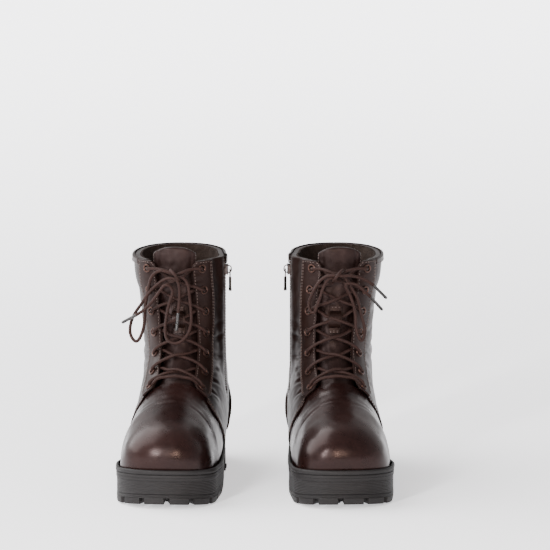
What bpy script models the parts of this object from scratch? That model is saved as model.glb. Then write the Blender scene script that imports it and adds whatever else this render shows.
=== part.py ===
"""A pair of lace-up ankle boots with inner-side zips and lugged platform soles.

Each boot is drawn once, as the wearer's right boot, in its own frame in millimetres: x points to the
inner side of the foot, y to the heel, z up from the floor. The left boot is its mirror image. The
leather lies on one form surface. A place on it is a station along the boot, from 0 at the toe to 4 at
the top of the shaft, and a run m in millimetres from the front ridge, positive on the inner side.
"""

import math

import bmesh
import bpy
import numpy as np
from mathutils import Matrix, Vector

MM = 0.001

# Where each boot stands: x of the ball of the foot, how far the toes point outwards, and the shift that
# brings the middle of the pair over the origin.
STANCE = {"right": (-85.6, 4.5), "left": (85.6, 2.5)}
BALL_Y = -70.0
PAIR_SHIFT = (0.2, 6.9)

# Side view of the form, as (y, z).
TOE_AXIS = (-98.0, 31.5)
ANKLE_AXIS = (-62.0, 190.0)
TOP_Z = 223.0
RIDGE = [(-142.5, 35.5), (-144.5, 47.0), (-141.5, 61.0), (-131.0, 73.0), (-115.0, 81.0), (-95.0, 86.5),
         (-75.0, 91.5), (-55.0, 98.0), (-38.0, 105.0), (-23.0, 115.0), (-11.0, 128.0), (-3.0, 145.0),
         (3.0, 168.0), (7.0, 195.0), (8.5, 226.0), (9.0, 242.0)]
BACK = [(-98.0, 31.5), (-80.0, 28.5), (-62.0, 25.5), (-20.0, 22.0), (30.0, 20.0), (80.0, 21.5),
        (112.0, 24.5), (125.0, 32.5), (128.5, 43.0), (129.5, 56.0), (129.0, 72.0), (126.5, 91.0),
        (122.0, 112.0), (118.5, 135.0), (117.0, 160.0), (118.0, 190.0), (120.5, 226.0), (122.0, 242.0)]

# Section values along the stations: half width, centre, roundness of the upper and the lower half,
# and how far down the section is widest.
HALF_WIDTH = [(0.0, 46.5), (1.0, 46.5), (1.5, 48.0), (2.0, 48.0), (2.17, 46.5), (2.33, 44.0),
              (2.5, 42.0), (2.67, 39.5), (2.83, 39.5), (3.0, 41.5), (3.72, 44.0), (4.0, 45.0)]
CENTRE = [(0.0, 0.0), (1.0, 0.0), (2.0, 0.5), (2.33, 3.0), (2.5, 4.0), (2.75, 2.5), (3.0, 0.0), (4.0, -3.0)]
UPPER_POWER = [(0.0, 2.5), (1.0, 2.3), (2.0, 2.1), (2.2, 2.0), (2.5, 2.2), (4.0, 2.3)]
LOWER_POWER = [(0.0, 4.0), (2.0, 4.0), (2.3, 3.0), (2.5, 2.5), (2.8, 2.3), (4.0, 2.2)]
WIDEST = [(0.0, 1.0), (1.0, 1.0), (1.5, 0.97), (2.0, 0.90), (2.2, 0.76), (2.4, 0.62), (2.6, 0.54),
          (3.0, 0.5), (4.0, 0.5)]
TOE_LEAN = 4.0

# Heights of the upper's lower edge along y.
FEATHER = [(-160.0, 37.0), (-142.0, 35.5), (-98.0, 31.5), (-62.0, 29.0), (-20.0, 29.0), (30.0, 32.0),
           (80.0, 36.0), (130.0, 38.5), (150.0, 39.0)]

# Sole.
RIM_RISE = 3.5
RIM_MARGIN = 5.0
QUARTER_LIFT = 5.0
LINING_LIFT = 9.0
SOLE_POINTS = 64
TOE_SPRING = 5.5
LUG_DEPTH = 6.0
HEEL_BREAST_Y = 44.0

# Layers, as distances from the form surface, outer face first.
VAMP = (0.0, -1.2)
QUARTER = (1.8, 0.8)
OVERLAY = (3.8, 2.8)
COUNTER_COVER = (4.2, 3.1)
STIFFENER = (-2.3, -3.3)
INSULATION = (-2.0, -3.6)
LINING = (-4.4, -6.4)
TONGUE = (-5.6, -9.6)

# Lacing.
THROAT = 2.175
GAP_HALF = 17.5
FACING_EDGE = 40.0
LINING_FRONT = 33.0
QUARTER_FRONT = 32.0
EYELET_M = 27.0
EYELETS = 7
EYELET_INNER = 2.5
LACE_DIAMETER = 3.2

# Zip: a straight line at one y on the flat inner side.
ZIP_Y = 50.0
ZIP_X = 43.6
ZIP_TOP = 218.0
ZIP_BOTTOM = 84.0
ZIP_SLIT = 5.5
SLIT_STATION = 2.5
SPLIT = 0.62
SLIDER_Z = 208.0

MATERIALS = {
    "leather": ((0.045, 0.022, 0.018), 0.38, 0.0),
    "leather_edge": ((0.030, 0.015, 0.012), 0.5, 0.0),
    "rubber": ((0.020, 0.018, 0.018), 0.6, 0.0),
    "lining": ((0.060, 0.040, 0.032), 0.95, 0.0),
    "insulation": ((0.35, 0.33, 0.30), 0.95, 0.0),
    "board": ((0.30, 0.22, 0.14), 0.85, 0.0),
    "steel": ((0.45, 0.45, 0.46), 0.35, 1.0),
    "lace": ((0.050, 0.022, 0.017), 0.8, 0.0),
    "zip_metal": ((0.10, 0.09, 0.09), 0.35, 0.9),
    "zip_tape": ((0.020, 0.014, 0.013), 0.9, 0.0),
    "aglet": ((0.012, 0.010, 0.010), 0.35, 0.0),
}


def cubic(table, at):
    """Natural cubic spline through (knot, value...) rows, read at the places asked for."""
    rows = np.array(table, float)
    knot = rows[:, 0]
    value = rows[:, 1:]
    n = len(knot)
    step = np.diff(knot)
    matrix = np.eye(n)
    right = np.zeros_like(value)
    for i in range(1, n - 1):
        matrix[i, i - 1:i + 2] = step[i - 1], 2.0 * (step[i - 1] + step[i]), step[i]
        slope_after = (value[i + 1] - value[i]) / step[i]
        slope_before = (value[i] - value[i - 1]) / step[i - 1]
        right[i] = 6.0 * (slope_after - slope_before)
    bend = np.linalg.solve(matrix, right)
    x = np.clip(np.atleast_1d(np.asarray(at, float)), knot[0], knot[-1])
    i = np.clip(np.searchsorted(knot, x, side="right") - 1, 0, n - 2)
    h = step[i][:, None]
    a = ((knot[i + 1] - x) / step[i])[:, None]
    b = 1.0 - a
    result = a * value[i] + b * value[i + 1]
    result += ((a ** 3 - a) * bend[i] + (b ** 3 - b) * bend[i + 1]) * h * h / 6.0
    return result


def value(table, at):
    return float(cubic(table, at)[0, 0])


def smooth_path(points, count):
    """A smooth open curve through points, as count points evenly spread by chord length."""
    points = np.array(points, float)
    chord = np.concatenate([[0.0], np.cumsum(np.linalg.norm(np.diff(points, axis=0), axis=1))])
    dense = cubic(np.column_stack([chord, points]), np.linspace(0.0, chord[-1], 20 * len(points)))
    run = np.concatenate([[0.0], np.cumsum(np.linalg.norm(np.diff(dense, axis=0), axis=1))])
    at = np.linspace(0.0, run[-1], count)
    return np.column_stack([np.interp(at, run, dense[:, k]) for k in range(dense.shape[1])])


RIDGE_LINE = smooth_path(RIDGE, 400)
BACK_LINE = smooth_path(BACK, 400)


def crossing(line, origin, direction):
    """The first point of a polyline that lies on the ray from origin along direction."""
    offset = line - origin
    side = offset[:, 0] * direction[1] - offset[:, 1] * direction[0]
    along = offset @ direction
    for i in np.nonzero(side[:-1] * side[1:] <= 0.0)[0]:
        if along[i] > 0.0:
            t = side[i] / (side[i] - side[i + 1])
            return line[i] + t * (line[i + 1] - line[i])
    raise ValueError("the ray misses the profile")


def section_ends(station):
    """The ridge end and the lower or back end of the section plane at a station, as (y, z)."""
    if station <= 1.0:
        toe = np.array(TOE_AXIS)
        full = math.atan2(TOE_AXIS[0] - RIDGE[0][0], RIDGE[0][1] - TOE_AXIS[1])
        angle = (1.0 - station) * full
        direction = np.array([-math.sin(angle), math.cos(angle)])
        if station <= 0.0:
            return np.array(RIDGE[0]), toe
        return crossing(RIDGE_LINE, toe, direction), toe
    if station <= 2.0:
        y = TOE_AXIS[0] + (station - 1.0) * (ANKLE_AXIS[0] - TOE_AXIS[0])
        up = np.array([0.0, 1.0])
        ridge = crossing(RIDGE_LINE, np.array([y, 0.0]), up)
        return ridge, np.array([y, float(np.interp(y, BACK_LINE[:200, 0], BACK_LINE[:200, 1]))])
    if station <= 3.0:
        angle = (station - 2.0) * math.pi / 2.0
        axis = np.array(ANKLE_AXIS)
        direction = np.array([math.sin(angle), -math.cos(angle)])
        return crossing(RIDGE_LINE, axis, direction), crossing(BACK_LINE, axis, direction)
    z = ANKLE_AXIS[1] + (station - 3.0) * 50.0
    row = np.array([ANKLE_AXIS[0], z])
    back = np.array([1.0, 0.0])
    return crossing(RIDGE_LINE, row, back), crossing(BACK_LINE, row, back)


SECTIONS = {}
HALF_STEPS = 70


def section(station):
    """Half of the form's section at a station: points on the inner side, their runs, the full run."""
    key = round(station, 5)
    if key in SECTIONS:
        return SECTIONS[key]
    ridge, end = section_ends(station)
    half = value(HALF_WIDTH, max(station, 1.0))
    widest = 1.0 if station <= 1.0 else min(value(WIDEST, station), 1.0)
    upper = 2.0 / value(UPPER_POWER, station)
    lower = 2.0 / value(LOWER_POWER, station)
    angle = np.linspace(0.0, math.pi / 2.0, HALF_STEPS)
    down = [widest * (1.0 - np.cos(angle) ** upper)]
    out = [half * np.sin(angle) ** upper]
    if widest < 0.999:
        down.append(widest + (1.0 - widest) * np.sin(angle[1:]) ** lower)
        out.append(half * np.cos(angle[1:]) ** lower)
    down = np.concatenate(down)
    out = np.concatenate(out)
    place = ridge + down[:, None] * (end - ridge)
    points = np.column_stack([out, place])
    run = np.concatenate([[0.0], np.cumsum(np.linalg.norm(np.diff(points, axis=0), axis=1))])
    SECTIONS[key] = (points, run)
    return SECTIONS[key]


def full_run(station, lift=0.0):
    """Run from the ridge down to a height above the feather edge, or to the back centre."""
    points, run = section(station)
    if station <= 1.0 and lift <= 0.0:
        return run[-1]
    height = points[:, 2] - cubic(FEATHER, points[:, 1])[:, 0] - lift
    below = np.nonzero(height < -0.001)[0]
    if not len(below):
        return run[HALF_STEPS - 1] if station < 2.0 else run[-1]
    i = below[0]
    if i == 0:
        return 0.0
    return run[i - 1] + (run[i] - run[i - 1]) * height[i - 1] / (height[i - 1] - height[i])


def flat_side(point):
    """Press the inner side flat along the zip, so that the zip is straight."""
    x, y, z = point
    if x <= 20.0:
        return point
    across = math.exp(-((y - ZIP_Y) / 15.0) ** 4)
    upward = 1.0 / (1.0 + math.exp(-(z - 84.0) / 5.0))
    return np.array([x + (ZIP_X - x) * across * upward, y, z])


def form(station, m):
    """The form surface at a station and a run from the ridge."""
    points, run = section(station)
    half, y, z = [np.interp(abs(m), run, points[:, k]) for k in range(3)]
    lean = TOE_LEAN * max(0.0, 1.0 - station) * (1.0 - (half / points[:, 0].max()) ** 2)
    centre = value(CENTRE, max(station, 1.0)) + lean
    return flat_side(np.array([centre + math.copysign(half, m), y, z]))


def outward(station, m):
    """The form's unit normal, away from the foot."""
    full = full_run(station)
    m = math.copysign(min(abs(m), full - 0.4), m) if abs(m) > full - 0.4 else m
    if station < 1.0:
        m = math.copysign(min(abs(m), full - 2.5), m)
    step = 0.01
    before = max(0.0, station - step)
    after = min(4.0, station + step)
    scale_before = full_run(before) / full
    scale_after = full_run(after) / full
    if 1.0 < station < 2.55 or station <= 1.0:
        along = form(after, m * scale_after) - form(before, m * scale_before)
    else:
        along = form(after, m) - form(before, m)
    across = form(station, m + 0.8) - form(station, m - 0.8)
    normal = np.cross(across, along)
    ridge, end = section_ends(station)
    middle = (ridge + end) / 2.0
    inside = np.array([value(CENTRE, station), middle[0], middle[1]])
    normal /= np.linalg.norm(normal)
    return normal if normal @ (form(station, m) - inside) > 0.0 else -normal


def lifted(station, m, distance):
    return form(station, m) + distance * outward(station, m)


def from_side(y, z):
    """The station and the run of the place seen at (y, z) from the side."""
    if z >= ANKLE_AXIS[1]:
        station = 3.0 + (z - ANKLE_AXIS[1]) / 50.0
    elif y >= ANKLE_AXIS[0]:
        station = 2.0 + math.atan2(y - ANKLE_AXIS[0], ANKLE_AXIS[1] - z) / (math.pi / 2.0)
    elif y >= TOE_AXIS[0]:
        station = 1.0 + (y - TOE_AXIS[0]) / (ANKLE_AXIS[0] - TOE_AXIS[0])
    else:
        full = math.atan2(TOE_AXIS[0] - RIDGE[0][0], RIDGE[0][1] - TOE_AXIS[1])
        station = 1.0 - math.atan2(TOE_AXIS[0] - y, z - TOE_AXIS[1]) / full
    points, run = section(station)
    ridge = points[0, 1:]
    end = points[-1, 1:]
    way = (end - ridge) / np.linalg.norm(end - ridge)
    depth = (points[:, 1:] - ridge) @ way
    return station, float(np.interp((np.array([y, z]) - ridge) @ way, depth, run))


def back_edge(z):
    """The back centre at a height: its y, station and full run."""
    y = float(np.interp(z, BACK_LINE[250:, 1], BACK_LINE[250:, 0]))
    station, _ = from_side(y, z)
    return y, station, full_run(station)


# ---------------------------------------------------------------------------------- mesh builders

def add_object(name, points, faces, material):
    """A named mesh object from points in millimetres, with its faces turned outwards."""
    mesh = bpy.data.meshes.new(name)
    mesh.from_pydata([tuple(np.asarray(p) * MM) for p in points], [], faces)
    work = bmesh.new()
    work.from_mesh(mesh)
    bmesh.ops.remove_doubles(work, verts=work.verts, dist=0.00002)
    bmesh.ops.triangulate(work, faces=work.faces[:])
    bmesh.ops.dissolve_degenerate(work, edges=work.edges[:], dist=0.00001)
    bmesh.ops.recalc_face_normals(work, faces=work.faces[:])
    work.to_mesh(mesh)
    work.free()
    obj = bpy.data.objects.new(name, mesh)
    bpy.context.scene.collection.objects.link(obj)
    obj.data.materials.append(material_for(material))
    return obj


def material_for(name):
    material = bpy.data.materials.get(name)
    if material:
        return material
    colour, roughness, metallic = MATERIALS[name]
    material = bpy.data.materials.new(name)
    material.use_nodes = True
    shader = material.node_tree.nodes["Principled BSDF"]
    shader.inputs["Base Color"].default_value = (*colour, 1.0)
    shader.inputs["Roughness"].default_value = roughness
    shader.inputs["Metallic"].default_value = metallic
    return material


def leather(name, grids, layer, material):
    """A closed panel of even thickness over grids of (station, m) places that meet at shared edges."""
    index = {}
    outer_points = []
    inner_points = []
    faces = []
    for grid in grids:
        ids = []
        for row in grid:
            ids.append([])
            for station, m in row:
                place = form(station, m)
                key = tuple(np.round(place * 20.0).astype(int))
                if key not in index:
                    index[key] = len(outer_points)
                    normal = outward(station, m)
                    outer_points.append(place + layer[0] * normal)
                    inner_points.append(place + layer[1] * normal)
                ids[-1].append(index[key])
        for i in range(len(ids) - 1):
            for j in range(len(ids[i]) - 1):
                loop = [ids[i][j], ids[i][j + 1], ids[i + 1][j + 1], ids[i + 1][j]]
                loop = [v for k, v in enumerate(loop) if v != loop[k - 1]]
                if len(loop) > 2:
                    faces.append(loop)
    return add_object(name, *close_sheet(outer_points, inner_points, faces), material)


def close_sheet(outer_points, inner_points, faces):
    """Points and faces of the solid between two copies of a sheet."""
    count = len(outer_points)
    uses = {}
    for face in faces:
        for k, v in enumerate(face):
            pair = (face[k - 1], v)
            uses.setdefault(frozenset(pair), []).append(pair)
    edges = [pairs[0] for pairs in uses.values() if len(pairs) == 1]
    walls = [(b, a, a + count, b + count) for a, b in edges]
    inner = [tuple(v + count for v in reversed(face)) for face in faces]
    return outer_points + inner_points, [tuple(f) for f in faces] + walls + inner


def rows(first, last, count):
    return np.linspace(first, last, count + 1)


def rings(name, levels, material):
    """A solid through closed rings of equal counts, capped at both ends."""
    points = [p for ring in levels for p in ring]
    n = len(levels[0])
    faces = [tuple(reversed(range(n)))]
    for k in range(len(levels) - 1):
        for i in range(n):
            j = (i + 1) % n
            faces.append((k * n + i, k * n + j, (k + 1) * n + j, (k + 1) * n + i))
    top = (len(levels) - 1) * n
    faces.append(tuple(range(top, top + n)))
    return add_object(name, points, faces, material)


def block(name, centre, size, material, turn=None):
    """A box given by its centre, its size and a rotation about its centre."""
    corners = [Vector((sx * size[0] / 2.0, sy * size[1] / 2.0, sz * size[2] / 2.0))
               for sz in (-1, 1) for sx, sy in ((-1, -1), (1, -1), (1, 1), (-1, 1))]
    if turn:
        corners = [turn @ c for c in corners]
    points = [Vector(centre) + c for c in corners]
    faces = [(3, 2, 1, 0), (4, 5, 6, 7), (0, 1, 5, 4), (1, 2, 6, 5), (2, 3, 7, 6), (3, 0, 4, 7)]
    return add_object(name, points, faces, material)


def cut(target, cutters):
    """Take the cutters away from the target, and drop them."""
    for cutter in cutters:
        combine(target, cutter, "DIFFERENCE")


def combine(target, other, operation):
    modifier = target.modifiers.new(operation.title(), "BOOLEAN")
    modifier.operation = operation
    modifier.object = other
    bpy.context.view_layer.update()
    result = bpy.data.meshes.new_from_object(target.evaluated_get(bpy.context.evaluated_depsgraph_get()))
    target.modifiers.clear()
    old = target.data
    target.data = result
    bpy.data.meshes.remove(old)
    bpy.data.objects.remove(other)


# ------------------------------------------------------------------------------------------- sole

def feather_half(side):
    """The upper's lower edge in plan on one side, from the toe to the heel."""
    places = [form(0.0, side * m) for m in np.linspace(0.0, full_run(0.0), 14)]
    for station in np.concatenate([rows(1.0, 2.0, 5)[1:], rows(2.0, 2.5, 12)[1:], rows(2.5, 2.6, 40)[1:]]):
        place = form(station, side * full_run(station))
        if place[2] > value(FEATHER, place[1]) + 0.5:
            break
        places.append(place)
    return np.array(places)[:, :2]


def feather_outline():
    """The upper's lower edge in plan, round the whole boot, starting at the toe on the inner side."""
    return np.vstack([feather_half(1.0), feather_half(-1.0)[:0:-1]])


def closed_path(points, count):
    """A smooth closed curve near the points, evenly spread."""
    loop = np.vstack([points, points[:1]])
    run = np.concatenate([[0.0], np.cumsum(np.linalg.norm(np.diff(loop, axis=0), axis=1))])
    at = np.linspace(0.0, run[-1], count, endpoint=False)
    even = np.column_stack([np.interp(at, run, loop[:, k]) for k in range(2)])
    for _ in range(2):
        even = (np.roll(even, 1, axis=0) + 2.0 * even + np.roll(even, -1, axis=0)) / 4.0
    return even


def grown(outline, distance):
    """The outline moved outwards by a distance."""
    tangent = np.roll(outline, -1, axis=0) - np.roll(outline, 1, axis=0)
    normal = np.column_stack([tangent[:, 1], -tangent[:, 0]])
    normal /= np.linalg.norm(normal, axis=1)[:, None]
    area = np.sum(outline[:, 0] * np.roll(outline[:, 1], -1) - np.roll(outline[:, 0], -1) * outline[:, 1])
    return outline + distance * normal * (1.0 if area > 0.0 else -1.0)


OUTLINE = grown(closed_path(feather_outline(), SOLE_POINTS), RIM_MARGIN)


def rim_height(y):
    return value(FEATHER, y) + RIM_RISE


def tread_height(y):
    """Underside of the forefoot tread: flat under the ball, rising to the toe and into the waist."""
    toe = max(0.0, (-92.0 - y) / 58.0)
    waist = max(0.0, (y + 38.0) / 60.0)
    return TOE_SPRING * toe ** 2 + 13.0 * min(waist, 1.2) ** 2


def sole_top(y):
    """Joint between the tread and the midsole."""
    return tread_height(y) + 10.0 if y < HEEL_BREAST_Y else 26.0


def ring(outline, inset, height):
    return [(x, y, height(y)) for x, y in grown(outline, -inset)]


def part_of_outline(keep):
    """The stretch of the outline on one side of a line across the boot, closed by that line."""
    kept = np.array([p for p in OUTLINE if keep(p[1])])
    gap = np.argmax(np.linalg.norm(kept - np.roll(kept, 1, axis=0), axis=1))
    return np.roll(kept, -gap, axis=0)


def midsole(tag):
    bottom = lambda y: min(sole_top(y), 24.0) + 0.3 if y < HEEL_BREAST_Y - 8.0 else 24.3
    levels = [
        ring(OUTLINE, 1.6, bottom),
        ring(OUTLINE, 1.0, lambda y: rim_height(y) - 9.5),
        ring(OUTLINE, 0.0, lambda y: rim_height(y) - 4.5),
        ring(OUTLINE, 0.0, lambda y: rim_height(y) - 1.2),
        ring(OUTLINE, 1.2, rim_height),
        ring(OUTLINE, 2.2, rim_height),
        ring(OUTLINE, 2.6, lambda y: rim_height(y) - 4.3),
    ]
    return rings(tag + "midsole", levels, "rubber")


def outsole(tag):
    outline = part_of_outline(lambda y: y < HEEL_BREAST_Y - 2.0)
    levels = [
        ring(outline, 2.6, tread_height),
        ring(outline, 1.6, lambda y: tread_height(y) + 2.0),
        ring(outline, 1.6, lambda y: min(sole_top(y), 24.0)),
    ]
    body = rings(tag + "outsole", levels, "rubber")
    cut(body, lug_notches(outline, -140.0, 20.0, 6.0))
    return body


def lug_notches(outline, first_y, last_y, depth):
    """Cutters for the notches between the lugs round the edge."""
    cutters = []
    count = len(outline)
    for i in range(1, count - 1, 3):
        x, y = outline[i]
        if not first_y < y < last_y and y > first_y:
            continue
        tangent = outline[(i + 1) % count] - outline[i - 1]
        turn = Matrix.Rotation(math.atan2(tangent[1], tangent[0]), 3, "Z")
        centre = (x, y, tread_height(y) + depth / 2.0 - 2.0)
        cutters.append(block("notch", centre, (4.0, 24.0, depth + 4.0), "rubber", turn))
    return cutters


def heel_block(tag):
    outline = part_of_outline(lambda y: y > HEEL_BREAST_Y)
    levels = [
        ring(outline, 3.4, lambda y: 0.0),
        ring(outline, 2.4, lambda y: 2.0),
        ring(outline, 1.6, lambda y: 24.0),
    ]
    body = rings(tag + "heel_block", levels, "rubber")
    cutters = []
    for y in (62.0, 82.0, 102.0):
        cutters.append(block("notch", (3.0, y, 1.5), (100.0, 4.0, 9.0), "rubber"))
    cut(body, cutters)
    return body


def inner_sole_layers(tag):
    """Shank, insole board and footbed, from the midsole up."""
    floor = lambda y: rim_height(y) - 4.3
    board_outline = grown(OUTLINE, -RIM_MARGIN - 4.0)
    shank = [(x * 0.22 + 2.0, y) for x, y in part_of_outline(lambda y: -52.0 < y < 92.0)]
    shank = np.array(shank)
    rings(tag + "shank", [[(x, y, floor(y) + 0.3) for x, y in shank],
                          [(x, y, floor(y) + 1.5) for x, y in shank]], "steel")
    rings(tag + "insole_board", [[(x, y, floor(y) + 1.8) for x, y in board_outline],
                                 [(x, y, floor(y) + 4.3) for x, y in board_outline]], "board")
    bed = grown(OUTLINE, -RIM_MARGIN - 4.5)
    rings(tag + "footbed", [[(x, y, floor(y) + 4.6) for x, y in bed],
                            [(x, y, floor(y) + 8.6) for x, y in bed]], "lining")


# ------------------------------------------------------------------------------------------ upper

def seam_station(q):
    """Front edge of the quarters, from the throat to the lower edge."""
    return THROAT - 0.03 * math.sin(math.pi * q) + 0.09 * q ** 2


def top_station():
    return 3.0 + (TOP_Z - ANKLE_AXIS[1]) / 50.0


def vamp(tag):
    grid = []
    for r in np.concatenate([rows(0.0, 1.0, 6), rows(1.0, 2.0, 5)[1:]]):
        line = []
        for f in np.linspace(-1.0, 1.0, 13):
            station = r if r <= 1.0 else 1.0 + (r - 1.0) * (1.20 + 0.13 * f ** 2)
            line.append((station, f * full_run(station)))
        grid.append(line)
    return leather(tag + "vamp", [grid], VAMP, "leather")


def rounded_front(station, first):
    """Front edge of a panel, rounded off towards the throat."""
    corner = min(1.0, max(0.0, 1.0 - (station - THROAT) / 0.10))
    return first + 7.0 * corner ** 2


def quarter_stations():
    """Rows of a quarter, closest together round the heel."""
    return np.concatenate([rows(THROAT, 2.45, 4), rows(2.45, 2.70, 8)[1:], rows(2.70, 3.0, 4)[1:],
                           rows(3.0, top_station(), 2)[1:]])


def quarter_place(side, row, q):
    blend = max(0.0, (2.45 - row) / (2.45 - THROAT))
    station = row + (seam_station(q) - THROAT) * blend
    first = rounded_front(station, QUARTER_FRONT)
    return station, side * (first + q * (full_run(station, QUARTER_LIFT) - 0.25 - first))


def lateral_quarter(tag):
    columns = 1.0 - (1.0 - rows(0.0, 1.0, 9)) ** 1.3
    grid = [[quarter_place(-1.0, row, q) for q in columns] for row in quarter_stations()]
    return leather(tag + "quarter_lateral", [grid], QUARTER, "leather")


def zip_edge(station, sign):
    """Edge of the zip's slit at a station: the middle of the quarter below the slit."""
    ridge, end = section_ends(station)
    way = end - ridge
    t = (ZIP_Y - ridge[0]) / way[0]
    z = ridge[1] + t * way[1]
    middle = from_side(ZIP_Y, z)[1]
    open_half = ZIP_SLIT * min(1.0, max(0.0, (z - (ZIP_BOTTOM - 6.0)) / 6.0))
    slope = abs(way[0]) / np.linalg.norm(way)
    return middle + sign * open_half / slope


def medial_quarter(tag):
    """Inner quarter, with the zip's slit open at the top."""
    front = []
    rear = []
    for row in quarter_stations():
        blend = max(0.0, (2.45 - row) / (2.45 - THROAT))
        splits = [full_run(row, QUARTER_LIFT) * SPLIT] * 2
        if row > SLIT_STATION:
            splits = [zip_edge(row, -1.0), zip_edge(row, 1.0)]
        first = rounded_front(row, QUARTER_FRONT)
        front_row = []
        for q in rows(0.0, 1.0, 4):
            station = row + (seam_station(q * SPLIT) - THROAT) * blend
            front_row.append((station, first + q * (splits[0] - first)))
        rear_row = []
        for q in rows(0.0, 1.0, 5):
            station = row + (seam_station(SPLIT + q * (1.0 - SPLIT)) - THROAT) * blend
            last = full_run(station, QUARTER_LIFT) - 0.25
            rear_row.append((station, splits[1] + q * (last - splits[1])))
        front.append(front_row)
        rear.append(rear_row)
    return leather(tag + "quarter_medial", [front, rear], QUARTER, "leather")


def eyelet_stations():
    """Stations of the eyelets, evenly spaced along the facing."""
    stations = rows(2.22, 3.66, 120)
    line = np.array([form(s, EYELET_M) for s in stations])
    run = np.concatenate([[0.0], np.cumsum(np.linalg.norm(np.diff(line, axis=0), axis=1))])
    at = np.linspace(1.5, run[-1] - 8.5, EYELETS)
    return np.interp(at, run, stations)


def facing(tag, side, name):
    """Facing strip along the lacing, with seven square-cut eyelet holes."""
    stations = eyelet_stations()
    half = EYELET_INNER
    slope = np.gradient(np.array([form(s, EYELET_M) for s in stations]), stations, axis=0)
    reach = half / np.linalg.norm(slope, axis=1)
    along = [THROAT + 0.012]
    for station, r in zip(stations, reach):
        along += [station - r, station + r]
    along.append(top_station() - 0.01)
    grids = []
    for i in range(len(along) - 1):
        lines = []
        for station in (along[i], along[i + 1]):
            first = rounded_front(station, GAP_HALF) + 0.4
            last = min(FACING_EDGE, EYELET_M + 7.5 + (station - THROAT) * 90.0)
            lines.append([(station, side * m) for m in (first, EYELET_M - half, EYELET_M + half, last)])
        pairs = (0, 2) if i % 2 else (0, 1, 2)
        grids += [[line[j:j + 2] for line in lines] for j in pairs]
    return leather(tag + name, grids, OVERLAY, "leather")


def disc(name, centre, radius, height, turn, material, sides=8):
    points = []
    for z in (-height / 2.0, height / 2.0):
        for k in range(sides):
            a = 2.0 * math.pi * k / sides
            points.append(Vector(centre) + turn @ Vector((radius * math.cos(a), radius * math.sin(a), z)))
    faces = [tuple(reversed(range(sides))), tuple(range(sides, 2 * sides))]
    for k in range(sides):
        j = (k + 1) % sides
        faces.append((k, j, sides + j, sides + k))
    return add_object(name, points, faces, material)


def back_grid(low, high, reach, count):
    """Two welded grids round the back centre between two heights, by reach forward."""
    grids = []
    for side in (1.0, -1.0):
        grid = []
        for r in rows(0.0, 1.0, count[0]):
            line = []
            for q in rows(0.0, 1.0, count[1]):
                z = low(q) + r * (high(q) - low(q))
                y, station, full = back_edge(max(z, 40.0))
                forward = reach * (1.0 - math.cos(q * math.pi / 2.0))
                if q > 0.0:
                    station, m = from_side(y - forward, z)
                    line.append((station, side * min(m, full_run(station))))
                else:
                    line.append((station, side * full))
            grid.append(line)
        grids.append(grid)
    return grids


def heel_feather(q, reach):
    y = 127.0 - reach * (1.0 - math.cos(q * math.pi / 2.0))
    return value(FEATHER, y) + 6.5


def counter_cover(tag):
    reach = 62.0
    low = lambda q: heel_feather(q, reach)
    high = lambda q: 98.0 - 44.0 * q ** 2.2
    return leather(tag + "heel_counter_cover", back_grid(low, high, reach, (6, 6)), COUNTER_COVER, "leather")


def counter_stiffener(tag):
    reach = 58.0
    low = lambda q: heel_feather(q, reach) + 2.0
    high = lambda q: 88.0 - 36.0 * q ** 2.2
    return leather(tag + "heel_counter", back_grid(low, high, reach, (3, 5)), STIFFENER, "board")


def back_strip(tag):
    grids = []
    for side in (1.0, -1.0):
        grid = []
        for z in rows(102.0, TOP_Z - 8.0, 9):
            y, station, full = back_edge(z)
            grid.append([(station, side * (full - k)) for k in (0.0, 4.0, 8.5)])
        grids.append(grid)
    return leather(tag + "back_strip", grids, OVERLAY, "leather")


def binding(tag):
    """Folded strip round the top edge, from facing to facing, open at the zip."""
    grid = []
    for z in (TOP_Z - 6.5, TOP_Z - 0.5):
        station = 3.0 + (z - ANKLE_AXIS[1]) / 50.0
        full = full_run(station)
        zip_m = from_side(ZIP_Y, z)[1]
        runs = [(1.0, m) for m in np.linspace(zip_m + 8.0, full, 7)]
        runs += [(-1.0, m) for m in np.linspace(full, FACING_EDGE + 1.0, 12)[1:]]
        grid.append([(station, side * m) for side, m in runs])
    return leather(tag + "top_binding", [grid], OVERLAY, "leather_edge")


def lining_grids(stations, columns, front, lift):
    """Welded half grids that close along the ridge before the lacing and at the back above the heel."""
    grids = []
    for side in (1.0, -1.0):
        grid = []
        for station in stations:
            first = front * min(1.0, max(0.0, (station - 1.95) / 0.16))
            last = full_run(station, lift)
            grid.append([(station, side * (first + q * (last - first))) for q in rows(0.0, 1.0, columns)])
        grids.append(grid)
    return grids


def lining(tag):
    stations = np.concatenate([rows(0.28, 2.0, 8), rows(2.0, 2.5, 4)[1:], rows(2.5, 2.8, 6)[1:],
                               [2.9, 3.0, 3.35, top_station() - 0.02]])
    return leather(tag + "lining", lining_grids(stations, 6, LINING_FRONT, LINING_LIFT), LINING, "lining")


def insulation(tag):
    """Warm layer in the shaft, between the quarters and the lining."""
    stations = np.concatenate([rows(2.70, 3.0, 3), [3.3, top_station() - 0.12]])
    grids = lining_grids(stations, 6, LINING_FRONT + 1.0, LINING_LIFT)
    return leather(tag + "insulation", grids, INSULATION, "insulation")


def toe_puff(tag):
    grid = []
    for station in rows(0.28, 2.0, 8)[:5]:
        grid.append([(station, f * full_run(station, LINING_LIFT)) for f in np.linspace(-1.0, 1.0, 13)])
    return leather(tag + "toe_puff", [grid], STIFFENER, "board")


def tongue(tag):
    grid = []
    for station in np.concatenate([rows(2.14, 3.0, 8), rows(3.0, 3.92, 3)[1:]]):
        half = 27.5 - 4.0 * max(0.0, 2.4 - station) / 0.3 - 5.0 * max(0.0, station - 3.8) / 0.12
        grid.append([(station, half * f) for f in np.linspace(-1.0, 1.0, 7)])
    return leather(tag + "tongue", [grid], TONGUE, "leather")


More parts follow.
